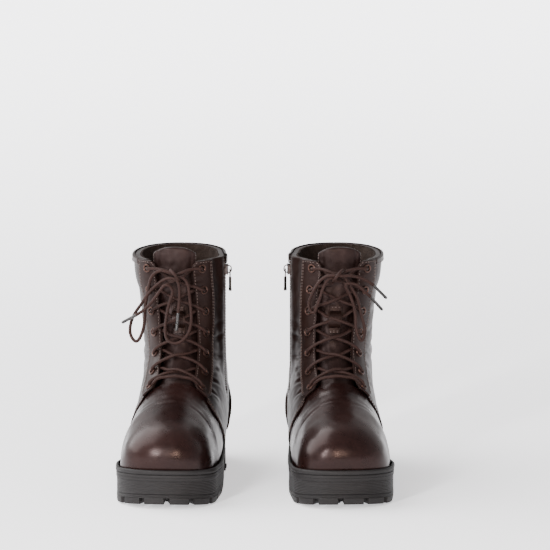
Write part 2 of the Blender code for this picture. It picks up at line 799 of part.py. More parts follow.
def keeper(tag):
    """Leather loop on the tongue that the lace passes through."""
    stations = eyelet_stations()
    middle = (stations[3] + stations[4]) / 2.0
    spread = 0.19
    foot = TONGUE[0] + 0.4
    arch = TONGUE[0] + 2.8
    profile = [(-1.0, foot), (-0.62, foot), (-0.45, arch), (0.45, arch), (0.62, foot), (1.0, foot)]
    points = []
    for m in (-6.0, 6.0):
        for lift in (0.0, 1.3):
            for f, height in profile:
                points.append(lifted(middle + spread * f / 2.0, m, height + lift))
    n = len(profile)
    faces = []
    for i in range(n - 1):
        faces.append((i, i + 1, n + i + 1, n + i))
        faces.append((2 * n + i, 3 * n + i, 3 * n + i + 1, 2 * n + i + 1))
        faces.append((i, 2 * n + i, 2 * n + i + 1, i + 1))
        faces.append((n + i, n + i + 1, 3 * n + i + 1, 3 * n + i))
    faces.append((0, n, 3 * n, 2 * n))
    faces.append((n - 1, 3 * n - 1, 4 * n - 1, 2 * n - 1))
    return add_object(tag + "lace_keeper", points, faces, "leather")


# -------------------------------------------------------------------------------------------- zip

def zip_parts(tag):
    """Tape, two rows of teeth, slider, pull and top cover, on the flat inner side."""
    face = ZIP_X
    length = ZIP_TOP - ZIP_BOTTOM
    middle = (ZIP_TOP + ZIP_BOTTOM) / 2.0
    block(tag + "zip_tape", (face - 1.2, ZIP_Y, middle - 1.0), (0.8, 14.0, length + 2.0), "zip_tape")
    for name, sign in (("zip_teeth_front", -1.0), ("zip_teeth_rear", 1.0)):
        block(tag + name, (face + 1.2, ZIP_Y + sign * 1.35, middle), (2.0, 2.4, length - 2.0), "zip_metal")
    slider = block(tag + "zip_slider", (face + 2.6, ZIP_Y, SLIDER_Z), (4.6, 8.4, 11.0), "zip_metal")
    groove = block("groove", (face + 0.9, ZIP_Y, SLIDER_Z), (3.4, 5.8, 14.0), "zip_metal")
    combine(slider, groove, "DIFFERENCE")
    for sign in (-1.0, 1.0):
        ear = block("ear", (face + 6.2, ZIP_Y + sign * 3.0, SLIDER_Z - 1.0), (4.0, 1.4, 4.4), "zip_metal")
        combine(slider, ear, "UNION")
    block(tag + "zip_pull", (face + 6.9, ZIP_Y, SLIDER_Z - 11.0), (1.3, 3.8, 23.0), "zip_metal")
    block(tag + "zip_garage", (face + 3.2, ZIP_Y, ZIP_TOP + 0.5), (1.2, 13.0, 8.0), "leather")


# ------------------------------------------------------------------------------------------- lace

# The bow, as (x, distance in front of the shaft, z) points from under the facings to each free end.
# The first list of each boot leaves the inner facing and the second the outer one.
BOWS = {
    "right": (
        [(8.0, 5.5, 212.0), (-2.0, 9.0, 210.5), (-13.0, 10.0, 214.5), (-23.0, 9.0, 210.0),
         (-28.0, 8.0, 196.0), (-31.0, 7.0, 180.0), (-32.0, 6.0, 163.0), (-35.0, 5.0, 149.0),
         (-40.0, 4.0, 142.0), (-45.5, 3.0, 146.0), (-47.0, 2.5, 156.0), (-43.0, 4.0, 168.0),
         (-35.0, 6.0, 180.0), (-27.0, 9.0, 192.0), (-17.0, 12.5, 202.0), (-6.0, 16.0, 208.0),
         (1.0, 16.5, 206.5), (4.0, 16.0, 198.0), (4.0, 14.5, 186.0), (3.0, 13.5, 173.0)],
        [(-9.0, 5.0, 205.0), (-2.0, 12.0, 204.5), (4.5, 14.0, 209.0), (10.5, 14.0, 205.0),
         (13.5, 13.0, 194.0), (15.5, 12.0, 177.0), (15.5, 12.0, 160.0), (10.0, 12.0, 148.0),
         (1.0, 12.0, 143.0), (-7.0, 12.0, 146.0), (-10.0, 12.0, 156.0), (-8.5, 13.0, 171.0),
         (-5.0, 15.0, 186.0), (-3.0, 17.5, 197.0), (-8.0, 20.0, 202.0), (-15.0, 19.0, 196.0),
         (-22.0, 17.0, 186.0), (-31.0, 15.5, 176.0), (-40.0, 14.5, 169.5)],
    ),
    "left": (
        [(8.0, 5.5, 212.0), (-1.0, 9.5, 211.0), (-8.0, 12.0, 207.0), (-13.0, 13.0, 199.0),
         (-20.0, 12.0, 186.0), (-24.0, 11.0, 169.0), (-27.0, 10.5, 154.0), (-24.0, 10.5, 145.0),
         (-19.5, 11.0, 152.0), (-18.0, 12.0, 167.0), (-15.0, 13.5, 183.0), (-10.0, 16.0, 195.0),
         (-8.0, 19.0, 202.5), (-15.0, 19.5, 203.0), (-25.0, 17.5, 196.5), (-33.0, 16.0, 188.5)],
        [(-8.0, 5.0, 205.5), (1.0, 12.0, 205.0), (7.0, 14.0, 208.0), (13.0, 14.0, 202.0),
         (17.0, 13.0, 191.0), (21.0, 12.0, 179.0), (25.0, 11.0, 172.5), (28.5, 10.0, 177.0),
         (26.5, 11.0, 189.0), (20.0, 13.0, 202.0), (10.0, 16.0, 210.5), (-1.0, 18.0, 211.0),
         (-13.0, 17.5, 210.5), (-26.0, 16.0, 206.5), (-36.0, 14.5, 200.0)],
    ),
}
AGLET_TIPS = {
    "right": ((1.5, 13.0, 155.0), (-55.0, 13.0, 160.5)),
    "left": ((-45.5, 14.0, 174.0), (-50.0, 12.0, 185.0)),
}
LACE_LIFT = 6.1
CROSSINGS = (5.6, 9.4)
TURN_HALF = 2.3


def crossing_run(side):
    """One end's criss-cross on top of the facings, from the bottom eyelet on a side up to the top one."""
    points = []
    stations = eyelet_stations()
    for k, here in enumerate(stations):
        pace = np.linalg.norm(form(here + 0.01, EYELET_M) - form(here - 0.01, EYELET_M)) / 0.02
        turn = TURN_HALF / pace
        points.append(lifted(here - turn, side * (EYELET_M + 1.0), LACE_LIFT))
        points.append(lifted(here + turn, side * (EYELET_M + 1.0), LACE_LIFT))
        if k == EYELETS - 1:
            points.append(lifted(here + 1.6 * turn, side * GAP_HALF, LACE_LIFT + 1.0))
            break
        step = stations[k + 1] - here
        height = CROSSINGS[(k + (side > 0.0)) % 2]
        points.append(lifted(here + 0.27 * step, side * GAP_HALF, LACE_LIFT))
        points.append(lifted(here + 0.5 * step, 0.0, height))
        points.append(lifted(here + 0.73 * step, -side * GAP_HALF, LACE_LIFT))
        side = -side
    return points, side


def in_front(point):
    """A bow point: x, the distance in front of the shaft, and z."""
    x, distance, z = point
    ridge = float(np.interp(z, RIDGE_LINE[150:, 1], RIDGE_LINE[150:, 0]))
    return np.array([x, ridge + 0.0035 * x * x - distance, z])


def lace_route(name):
    """The whole lace, from one aglet to the other."""
    from_inner, end_of_inner = crossing_run(1.0)
    from_outer, end_of_outer = crossing_run(-1.0)
    below = eyelet_stations()[0] - 0.03
    bar = [lifted(below, m, LACE_LIFT + 0.5) for m in (GAP_HALF, 0.0, -GAP_HALF)]
    bows = {1.0: BOWS[name][0], -1.0: BOWS[name][1]}
    first = [in_front(p) for p in bows[end_of_inner]]
    last = [in_front(p) for p in bows[end_of_outer]]
    return first[::-1] + from_inner[::-1] + bar + from_outer + last


def lace(tag, name):
    route = lace_route(name)
    curve = bpy.data.curves.new(tag + "lace", "CURVE")
    curve.dimensions = "3D"
    curve.bevel_depth = LACE_DIAMETER * MM / 2.0
    curve.bevel_resolution = 2
    curve.use_fill_caps = True
    spline = curve.splines.new("POLY")
    spline.points.add(len(route) - 1)
    for point, place in zip(spline.points, route):
        point.co = (*(np.array(place) * MM), 1.0)
    obj = bpy.data.objects.new(tag + "lace", curve)
    bpy.context.scene.collection.objects.link(obj)
    curve.materials.append(material_for("lace"))
    for label, end, tip in (("aglet_inner", BOWS[name][0][-1], AGLET_TIPS[name][0]),
                            ("aglet_outer", BOWS[name][1][-1], AGLET_TIPS[name][1])):
        end = Vector(in_front(end))
        tip = Vector(in_front(tip))
        way = (tip - end).normalized()
        start = end + way * 0.4
        turn = way.to_track_quat("Z", "Y").to_matrix()
        length = (tip - start).length
        disc(tag + label, start + way * length / 2.0, 1.7, length, turn, "aglet")


# ------------------------------------------------------------------------------------------- pair

def build_boot(name):
    tag = name + "_"
    before = set(bpy.data.objects)
    midsole(tag)
    outsole(tag)
    heel_block(tag)
    inner_sole_layers(tag)
    vamp(tag)
    lateral_quarter(tag)
    medial_quarter(tag)
    facing(tag, 1.0, "facing_medial")
    facing(tag, -1.0, "facing_lateral")
    counter_cover(tag)
    counter_stiffener(tag)
    back_strip(tag)
    binding(tag)
    lining(tag)
    insulation(tag)
    toe_puff(tag)
    tongue(tag)
    keeper(tag)
    zip_parts(tag)
    lace(tag, name)
    place_boot(name, [o for o in bpy.data.objects if o not in before])


def stance_matrix(name):
    """From a boot's own frame to the pair's frame."""
    ball_x, toe_out = STANCE[name]
    mirror = Matrix.Scale(-1.0, 4, Vector((1.0, 0.0, 0.0))) if name == "left" else Matrix.Identity(4)
    turn = Matrix.Rotation(math.radians(-toe_out if name == "right" else toe_out), 4, "Z")
    pivot = Matrix.Translation(Vector((0.0, BALL_Y * MM, 0.0)))
    stand = Matrix.Translation(Vector((ball_x + PAIR_SHIFT[0], PAIR_SHIFT[1], 0.0)) * MM)
    return stand @ pivot @ turn @ pivot.inverted() @ mirror


def place_boot(name, objects):
    matrix = stance_matrix(name)
    origins = {
        name + "_zip_slider": Vector((ZIP_X + 2.6, ZIP_Y, SLIDER_Z)) * MM,
        name + "_zip_pull": Vector((ZIP_X + 6.9, ZIP_Y, SLIDER_Z)) * MM,
    }
    for obj in objects:
        origin = matrix @ origins[obj.name] if obj.name in origins else Vector()
        obj.data.transform(Matrix.Translation(-origin) @ matrix)
        obj.location = origin
        if name == "left" and obj.type == "MESH":
            obj.data.flip_normals()


def clear_scene():
    for obj in list(bpy.data.objects):
        bpy.data.objects.remove(obj)


def main():
    clear_scene()
    for name in STANCE:
        build_boot(name)


main()
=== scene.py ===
"""A pair of lace-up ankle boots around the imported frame.

Each boot's pieces are drawn once, in the boot's own frame in millimetres: x points to the inner side of the
foot, y to the heel, z up from the floor. The left boot is the mirror image, with its own bow. Leather lies
on one form surface, whose places are a station along the boot and a run m from the front ridge.
"""

import math

import bmesh
import bpy
import numpy as np
from mathutils import Matrix, Vector


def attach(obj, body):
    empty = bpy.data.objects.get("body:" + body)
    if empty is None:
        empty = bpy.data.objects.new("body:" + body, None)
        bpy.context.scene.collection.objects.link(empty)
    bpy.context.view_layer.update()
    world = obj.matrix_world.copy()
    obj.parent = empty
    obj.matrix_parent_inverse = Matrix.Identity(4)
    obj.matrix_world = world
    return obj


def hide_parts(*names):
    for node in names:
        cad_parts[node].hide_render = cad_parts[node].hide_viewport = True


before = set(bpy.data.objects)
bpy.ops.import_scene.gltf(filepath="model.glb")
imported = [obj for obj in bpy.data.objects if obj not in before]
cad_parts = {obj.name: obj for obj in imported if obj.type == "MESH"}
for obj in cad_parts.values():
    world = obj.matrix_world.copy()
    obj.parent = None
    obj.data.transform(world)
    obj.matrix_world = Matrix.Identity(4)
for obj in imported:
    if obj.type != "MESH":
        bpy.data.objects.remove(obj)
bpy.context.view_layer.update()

MM = 0.001
SIDES = ("right", "left")

# ------------------------------------------------------------------------------------------ camera

TARGET = Vector((0.0198, 0.0071, 0.2100))
ELEVATION = 10.0
DISTANCE = 6.0
LENS = 390.0


def make_camera():
    data = bpy.data.cameras.new("camera")
    data.lens = LENS
    data.sensor_width = 36.0
    data.clip_end = 100.0
    camera = bpy.data.objects.new("camera", data)
    bpy.context.scene.collection.objects.link(camera)
    rise = math.radians(ELEVATION)
    camera.location = TARGET + DISTANCE * Vector((0.0, -math.cos(rise), math.sin(rise)))
    camera.rotation_euler = (math.radians(90.0 - ELEVATION), 0.0, 0.0)
    bpy.context.scene.camera = camera


make_camera()

# -------------------------------------------------------------------------------------------- form

# Where each boot stands: x of the ball of the foot, how far the toes point outwards, and the shift that
# brings the middle of the pair over the origin.
STANCE = {"right": (-85.6, 4.5), "left": (85.6, 2.5)}
BALL_Y = -70.0
PAIR_SHIFT = (0.2, 6.9)

# Side view of the form, as (y, z).
TOE_AXIS = (-98.0, 31.5)
ANKLE_AXIS = (-62.0, 190.0)
TOP_Z = 223.0
RIDGE = [(-142.5, 35.5), (-144.5, 47.0), (-141.5, 61.0), (-131.0, 73.0), (-115.0, 81.0), (-95.0, 86.5),
         (-75.0, 91.5), (-55.0, 98.0), (-38.0, 105.0), (-23.0, 115.0), (-11.0, 128.0), (-3.0, 145.0),
         (3.0, 168.0), (7.0, 195.0), (8.5, 226.0), (9.0, 242.0)]
BACK = [(-98.0, 31.5), (-80.0, 28.5), (-62.0, 25.5), (-20.0, 22.0), (30.0, 20.0), (80.0, 21.5),
        (112.0, 24.5), (125.0, 32.5), (128.5, 43.0), (129.5, 56.0), (129.0, 72.0), (126.5, 91.0),
        (122.0, 112.0), (118.5, 135.0), (117.0, 160.0), (118.0, 190.0), (120.5, 226.0), (122.0, 242.0)]

# Section values along the stations: half width, centre, roundness of the upper and the lower half,
# and how far down the section is widest.
HALF_WIDTH = [(0.0, 46.5), (1.0, 46.5), (1.5, 48.0), (2.0, 48.0), (2.17, 46.5), (2.33, 44.0),
              (2.5, 42.0), (2.67, 39.5), (2.83, 39.5), (3.0, 41.5), (3.72, 44.0), (4.0, 45.0)]
CENTRE = [(0.0, 0.0), (1.0, 0.0), (2.0, 0.5), (2.33, 3.0), (2.5, 4.0), (2.75, 2.5), (3.0, 0.0), (4.0, -3.0)]
UPPER_POWER = [(0.0, 2.5), (1.0, 2.3), (2.0, 2.1), (2.2, 2.0), (2.5, 2.2), (4.0, 2.3)]
LOWER_POWER = [(0.0, 4.0), (2.0, 4.0), (2.3, 3.0), (2.5, 2.5), (2.8, 2.3), (4.0, 2.2)]
WIDEST = [(0.0, 1.0), (1.0, 1.0), (1.5, 0.97), (2.0, 0.90), (2.2, 0.76), (2.4, 0.62), (2.6, 0.54),
          (3.0, 0.5), (4.0, 0.5)]
TOE_LEAN = 4.0

# Heights of the upper's lower edge along y.
FEATHER = [(-160.0, 37.0), (-142.0, 35.5), (-98.0, 31.5), (-62.0, 29.0), (-20.0, 29.0), (30.0, 32.0),
           (80.0, 36.0), (130.0, 38.5), (150.0, 39.0)]

# Sole.
RIM_RISE = 3.5
RIM_MARGIN = 5.0
QUARTER_LIFT = 5.0
LINING_LIFT = 9.0
TOE_SPRING = 5.5
HEEL_BREAST_Y = 44.0

# Layers, as distances from the form surface, outer face first.
VAMP = (0.0, -1.2)
QUARTER = (1.8, 0.8)
OVERLAY = (3.8, 1.9)
COVER = (4.0, 1.7)
BINDING = (3.5, 1.6)
LINING = (-4.4, -6.4)
TONGUE = (-5.6, -9.6)
COLLAR = (0.5, -4.6)

# Lacing.
THROAT = 2.175
GAP_HALF = 17.5
FACING_EDGE = 40.0
LINING_FRONT = 33.0
QUARTER_FRONT = 32.0
EYELET_M = 27.0
EYELETS = 7
LACE_DIAMETER = 3.2

# Zip: a straight line at one y on the flat inner side.
ZIP_Y = 50.0
ZIP_X = 43.6
ZIP_TOP = 218.0
ZIP_BOTTOM = 84.0
ZIP_SLIT = 5.5
SLIT_STATION = 2.5
SPLIT = 0.62
SLIDER_Z = 208.0


def cubic(table, at):
    """Natural cubic spline through (knot, value...) rows, read at the places asked for."""
    rows = np.array(table, float)
    knot = rows[:, 0]
    value = rows[:, 1:]
    n = len(knot)
    step = np.diff(knot)
    matrix = np.eye(n)
    right = np.zeros_like(value)
    for i in range(1, n - 1):
        matrix[i, i - 1:i + 2] = step[i - 1], 2.0 * (step[i - 1] + step[i]), step[i]
        slope_after = (value[i + 1] - value[i]) / step[i]
        slope_before = (value[i] - value[i - 1]) / step[i - 1]
        right[i] = 6.0 * (slope_after - slope_before)
    bend = np.linalg.solve(matrix, right)
    x = np.clip(np.atleast_1d(np.asarray(at, float)), knot[0], knot[-1])
    i = np.clip(np.searchsorted(knot, x, side="right") - 1, 0, n - 2)
    h = step[i][:, None]
    a = ((knot[i + 1] - x) / step[i])[:, None]
    b = 1.0 - a
    result = a * value[i] + b * value[i + 1]
    result += ((a ** 3 - a) * bend[i] + (b ** 3 - b) * bend[i + 1]) * h * h / 6.0
    return result


def value(table, at):
    return float(cubic(table, at)[0, 0])


def smooth_path(points, count):
    """A smooth open curve through points, as count points evenly spread by chord length."""
    points = np.array(points, float)
    chord = np.concatenate([[0.0], np.cumsum(np.linalg.norm(np.diff(points, axis=0), axis=1))])
    dense = cubic(np.column_stack([chord, points]), np.linspace(0.0, chord[-1], 20 * len(points)))
    run = np.concatenate([[0.0], np.cumsum(np.linalg.norm(np.diff(dense, axis=0), axis=1))])
    at = np.linspace(0.0, run[-1], count)
    return np.column_stack([np.interp(at, run, dense[:, k]) for k in range(dense.shape[1])])


RIDGE_LINE = smooth_path(RIDGE, 400)
BACK_LINE = smooth_path(BACK, 400)


def crossing(line, origin, direction):
    """The first point of a polyline that lies on the ray from origin along direction."""
    offset = line - origin
    side = offset[:, 0] * direction[1] - offset[:, 1] * direction[0]
    along = offset @ direction
    for i in np.nonzero(side[:-1] * side[1:] <= 0.0)[0]:
        if along[i] > 0.0:
            t = side[i] / (side[i] - side[i + 1])
            return line[i] + t * (line[i + 1] - line[i])
    raise ValueError("the ray misses the profile")


def section_ends(station):
    """The ridge end and the lower or back end of the section plane at a station, as (y, z)."""
    if station <= 1.0:
        toe = np.array(TOE_AXIS)
        full = math.atan2(TOE_AXIS[0] - RIDGE[0][0], RIDGE[0][1] - TOE_AXIS[1])
        angle = (1.0 - station) * full
        direction = np.array([-math.sin(angle), math.cos(angle)])
        if station <= 0.0:
            return np.array(RIDGE[0]), toe
        return crossing(RIDGE_LINE, toe, direction), toe
    if station <= 2.0:
        y = TOE_AXIS[0] + (station - 1.0) * (ANKLE_AXIS[0] - TOE_AXIS[0])
        up = np.array([0.0, 1.0])
        ridge = crossing(RIDGE_LINE, np.array([y, 0.0]), up)
        return ridge, np.array([y, float(np.interp(y, BACK_LINE[:200, 0], BACK_LINE[:200, 1]))])
    if station <= 3.0:
        angle = (station - 2.0) * math.pi / 2.0
        axis = np.array(ANKLE_AXIS)
        direction = np.array([math.sin(angle), -math.cos(angle)])
        return crossing(RIDGE_LINE, axis, direction), crossing(BACK_LINE, axis, direction)
    z = ANKLE_AXIS[1] + (station - 3.0) * 50.0
    row = np.array([ANKLE_AXIS[0], z])
    back = np.array([1.0, 0.0])
    return crossing(RIDGE_LINE, row, back), crossing(BACK_LINE, row, back)


SECTIONS = {}
HALF_STEPS = 70


def section(station):
    """Half of the form's section at a station: points on the inner side, their runs, the full run."""
    key = round(station, 5)
    if key in SECTIONS:
        return SECTIONS[key]
    ridge, end = section_ends(station)
    half = value(HALF_WIDTH, max(station, 1.0))
    widest = 1.0 if station <= 1.0 else min(value(WIDEST, station), 1.0)
    upper = 2.0 / value(UPPER_POWER, station)
    lower = 2.0 / value(LOWER_POWER, station)
    angle = np.linspace(0.0, math.pi / 2.0, HALF_STEPS)
    down = [widest * (1.0 - np.cos(angle) ** upper)]
    out = [half * np.sin(angle) ** upper]
    if widest < 0.999:
        down.append(widest + (1.0 - widest) * np.sin(angle[1:]) ** lower)
        out.append(half * np.cos(angle[1:]) ** lower)
    down = np.concatenate(down)
    out = np.concatenate(out)
    place = ridge + down[:, None] * (end - ridge)
    points = np.column_stack([out, place])
    run = np.concatenate([[0.0], np.cumsum(np.linalg.norm(np.diff(points, axis=0), axis=1))])
    SECTIONS[key] = (points, run)
    return SECTIONS[key]


def full_run(station, lift=0.0):
    """Run from the ridge down to a height above the feather edge, or to the back centre."""
    points, run = section(station)
    if station <= 1.0 and lift <= 0.0:
        return run[-1]
    height = points[:, 2] - cubic(FEATHER, points[:, 1])[:, 0] - lift
    below = np.nonzero(height < -0.001)[0]
    if not len(below):
        return run[HALF_STEPS - 1] if station < 2.0 else run[-1]
    i = below[0]
    if i == 0:
        return 0.0
    return run[i - 1] + (run[i] - run[i - 1]) * height[i - 1] / (height[i - 1] - height[i])


def from_side(y, z):
    """The station and the run of the place seen at (y, z) from the side."""
    if z >= ANKLE_AXIS[1]:
        station = 3.0 + (z - ANKLE_AXIS[1]) / 50.0
    elif y >= ANKLE_AXIS[0]:
        station = 2.0 + math.atan2(y - ANKLE_AXIS[0], ANKLE_AXIS[1] - z) / (math.pi / 2.0)
    elif y >= TOE_AXIS[0]:
        station = 1.0 + (y - TOE_AXIS[0]) / (ANKLE_AXIS[0] - TOE_AXIS[0])
    else:
        full = math.atan2(TOE_AXIS[0] - RIDGE[0][0], RIDGE[0][1] - TOE_AXIS[1])
        station = 1.0 - math.atan2(TOE_AXIS[0] - y, z - TOE_AXIS[1]) / full
    points, run = section(station)
    ridge = points[0, 1:]
    end = points[-1, 1:]
    way = (end - ridge) / np.linalg.norm(end - ridge)
    depth = (points[:, 1:] - ridge) @ way
    return station, float(np.interp((np.array([y, z]) - ridge) @ way, depth, run))




TABLE_STEP = 0.005
TOE_STATIONS = np.arange(0.0, 1.0 + TABLE_STEP / 2, TABLE_STEP)
TOE_FRACTIONS = np.linspace(-1.0, 1.0, 321)
BODY_STATIONS = np.arange(1.0, 4.0 + TABLE_STEP / 2, TABLE_STEP)
BODY_RUNS = np.arange(-212.0, 212.5, 1.0)


def press_flat(points):
    """The inner side pressed flat along the zip."""
    x, y, z = points[..., 0], points[..., 1], points[..., 2]
    across = np.exp(-((y - ZIP_Y) / 15.0) ** 4) * (x > 20.0)
    upward = 1.0 / (1.0 + np.exp(-(z - 84.0) / 5.0))
    result = points.copy()
    result[..., 0] = x + (ZIP_X - x) * across * upward
    return result


def section_row(station, runs):
    """Points of the form at one station for an array of signed runs, carried on past the section's end."""
    points, run = section(station)
    size = np.abs(runs)
    sign = np.where(runs < 0.0, -1.0, 1.0)
    past = np.maximum(0.0, size - run[-1])
    closed = points[-1, 0] < 1.0
    inside = run[-1] - past if closed else np.minimum(size, run[-1])
    at = np.where(size > run[-1], inside, size)
    half, y, z = [np.interp(at, run, points[:, k]) for k in range(3)]
    if closed:
        sign = np.where(size > run[-1], -sign, sign)
    else:
        way = points[-1, 1:] - points[0, 1:]
        way = way / np.linalg.norm(way)
        y = y + past * way[0]
        z = z + past * way[1]
    lean = TOE_LEAN * max(0.0, 1.0 - station) * (1.0 - (half / points[:, 0].max()) ** 2)
    centre = value(CENTRE, max(station, 1.0)) + lean
    return np.column_stack([centre + sign * half, y, z])


def normals_of(table):
    """Unit normals of a table of places, away from the boot."""
    along = np.gradient(table, axis=0)
    across = np.gradient(table, axis=1)
    normal = np.cross(across, along)
    size = np.linalg.norm(normal, axis=2, keepdims=True)
    normal = normal / np.maximum(size, 1e-9)
    return normal


def make_tables():
    toe = np.array([section_row(s, TOE_FRACTIONS * section(s)[1][-1]) for s in TOE_STATIONS])
    body = np.array([section_row(s, BODY_RUNS) for s in BODY_STATIONS])
    tables = []
    for table in (press_flat(toe), press_flat(body)):
        normal = normals_of(table)
        if normal[len(normal) // 2, normal.shape[1] // 2, 1] > 0.0:
            normal = -normal
        tables += [table, normal]
    tables[1][:, :3] = tables[1][:, 3:4]
    tables[1][:, -3:] = tables[1][:, -4:-3]
    return tables


TOE_PLACES, TOE_NORMALS, BODY_PLACES, BODY_NORMALS = make_tables()
TOE_RUNS = np.array([section(s)[1][-1] for s in TOE_STATIONS])


def look_up(table, a, b):
    """Bilinear reading of a table at fractional rows a and columns b."""
    i = np.clip(np.floor(a).astype(int), 0, table.shape[0] - 2)
    j = np.clip(np.floor(b).astype(int), 0, table.shape[1] - 2)
    u = (a - i)[..., None]
    v = (b - j)[..., None]
    low = table[i, j] * (1.0 - v) + table[i, j + 1] * v
    high = table[i + 1, j] * (1.0 - v) + table[i + 1, j + 1] * v
    return low * (1.0 - u) + high * u


def on_form(station, m):
    """Points and unit normals of the form at arrays of stations and runs."""
    station, m = np.broadcast_arrays(np.asarray(station, float), np.asarray(m, float))
    toe = station < 1.0
    full = np.interp(station, TOE_STATIONS, TOE_RUNS)
    f = np.clip(m / full, -1.0, 1.0)
    a = station / TABLE_STEP
    b = (f + 1.0) / (TOE_FRACTIONS[1] - TOE_FRACTIONS[0])
    c = (station - 1.0) / TABLE_STEP
    d = m - BODY_RUNS[0]
    pick = toe[..., None]
    points = np.where(pick, look_up(TOE_PLACES, a, b), look_up(BODY_PLACES, c, d))
    normals = np.where(pick, look_up(TOE_NORMALS, a, b), look_up(BODY_NORMALS, c, d))
    normals /= np.linalg.norm(normals, axis=-1, keepdims=True)
    return points, normals


def lifted_all(station, m, distance):
    points, normals = on_form(station, m)
    return points + np.asarray(distance)[..., None] * normals


FULL_STATIONS = np.arange(0.0, 4.0001, 0.01)
FULL_RUNS = {lift: np.array([full_run(s, lift) for s in FULL_STATIONS])
             for lift in (0.0, QUARTER_LIFT, LINING_LIFT)}


def full(station, lift=0.0):
    return np.interp(station, FULL_STATIONS, FULL_RUNS[lift])


def rows(first, last, count):
    return np.linspace(first, last, count + 1)


def graded(length, step, fine=(0.0, 0.25, 0.6, 1.1, 1.8), both=True, start=True):
    """Fractions from 0 to 1 along a length in mm, with fine steps at the chosen ends."""
    head = np.array(fine) / length if start else np.array([0.0])
    tail = 1.0 - np.array(fine)[::-1] / length if both else np.array([1.0])
    count = max(2, int((tail[0] - head[-1]) * length / step))
    return np.concatenate([head[:-1], np.linspace(head[-1], tail[0], count + 1), tail[1:]])


def waves(points, size, seed, count=10):
    """A smooth random field from -1 to 1, with features of about size mm."""
    random = np.random.default_rng(seed)
    total = np.zeros(points.shape[:-1])
    for _ in range(count):
        way = random.normal(size=3)
        way *= 2.0 * math.pi / size / np.linalg.norm(way) * random.uniform(0.6, 1.5)
        total += np.sin(points @ way + random.uniform(0.0, 6.28))
    return total / math.sqrt(count)


# ------------------------------------------------------------------------------------------ pieces

SHAPES = []


def keep(name, points, faces, material, slot_name, nodes=(), body="boots", sharp=40.0):
    """Keeps one piece of the right boot, to be placed on both sides."""
    SHAPES.append((name, np.asarray(points, float), faces, material, slot_name, nodes, body, sharp))


def close_sheet(outer, inner, faces):
    """The solid between two copies of a sheet."""
    count = len(outer)
    uses = {}
    for face in faces:
        for k, v in enumerate(face):
            pair = (face[k - 1], v)
            key = pair if pair[0] < pair[1] else (pair[1], pair[0])
            uses.setdefault(key, []).append(pair)
    edges = [pairs[0] for pairs in uses.values() if len(pairs) == 1]
    walls = [(b, a, a + count, b + count) for a, b in edges]
    back = [tuple(v + count for v in reversed(face)) for face in faces]
    return np.vstack([outer, inner]), [tuple(f) for f in faces] + walls + back


def border_distance(points, flags):
    """Distance in mm to the flagged borders of a grid: first row, last row, first and last column."""
    def running(axis):
        steps = np.linalg.norm(np.diff(points, axis=axis), axis=2)
        shape = list(points.shape[:2])
        shape[axis] = 1
        return np.concatenate([np.zeros(shape), np.cumsum(steps, axis=axis)], axis=axis)

    down = running(0)
    over = running(1)
    fields = (down, down[-1:] - down, over, over[:, -1:] - over)
    result = np.full(points.shape[:2], 1e3)
    for use, field in zip(flags, fields):
        if use:
            result = np.minimum(result, field)
    return result


def grid_quads(n, k):
    """Four corners of every cell in a grid of n rows of k points."""
    ids = np.arange(n * k).reshape(n, k)
    return np.stack([ids[:-1, :-1], ids[:-1, 1:], ids[1:, 1:], ids[1:, :-1]], axis=-1).reshape(-1, 4)


def panel_arrays(station, m, layer, rounded=(1, 1, 1, 1), radius=0.8, relief=None, hole=None, gap=None):
    """Outer and inner points and faces of a panel over a grid of places, with its cut edges rounded."""
    points, normals = on_form(station, m)
    outer, inner = layer
    distance = border_distance(points, rounded)
    if gap is not None:
        distance = np.minimum(distance, gap)
    radius = min(radius, 0.9 * (outer - inner))
    near = np.clip(distance / radius, 0.0, 1.0)
    lift = outer - radius * (1.0 - np.sqrt(np.maximum(0.0, 1.0 - (1.0 - near) ** 2)))
    if relief is not None:
        lift = lift + relief(points, station, m)
    n, k = station.shape
    quads = grid_quads(n, k)
    if hole is not None:
        middle = points.reshape(-1, 3)[quads].mean(axis=1)
        quads = quads[~hole(middle)]
    top = (points + lift[..., None] * normals).reshape(-1, 3)
    bottom = (points + inner * normals).reshape(-1, 3)
    return top, bottom, [tuple(q) for q in quads.tolist()]


def weld(parts, tolerance=0.02):
    """Several panel grids joined where their places meet."""
    tops, bottoms, faces = [], [], []
    index = {}
    for top, bottom, quads in parts:
        ids = []
        for p, q in zip(top, bottom):
            key = tuple(np.round(q / tolerance).astype(int))
            if key not in index:
                index[key] = len(tops)
                tops.append(p)
                bottoms.append(q)
            ids.append(index[key])
        for quad in quads:
            loop = [ids[v] for v in quad]
            loop = [v for k, v in enumerate(loop) if v != loop[k - 1]]
            if len(loop) > 2 and len(set(loop)) == len(loop):
                faces.append(tuple(loop))
    return np.array(tops), np.array(bottoms), faces


def panel(name, grids, layer, material, slot_name, nodes, **options):
    parts = [panel_arrays(*grid, layer, **options) for grid in grids]
    top, bottom, faces = parts[0] if len(parts) == 1 else weld(parts)
    keep(name, *close_sheet(top, bottom, faces), material, slot_name, nodes)


def mesh_object(name, points, faces, material, sharp):
    mesh = bpy.data.meshes.new(name)
    mesh.from_pydata((np.asarray(points) * MM).tolist(), [], faces)
    work = bmesh.new()
    work.from_mesh(mesh)
    bmesh.ops.remove_doubles(work, verts=work.verts, dist=2e-6)
    bmesh.ops.dissolve_degenerate(work, edges=work.edges[:], dist=1e-6)
    bmesh.ops.recalc_face_normals(work, faces=work.faces[:])
    work.to_mesh(mesh)
    work.free()
    mesh.shade_smooth()
    mesh.set_sharp_from_angle(angle=math.radians(sharp))
    mesh.materials.append(MATERIALS[material])
    obj = bpy.data.objects.new(name, mesh)
    bpy.context.scene.collection.objects.link(obj)
    return obj


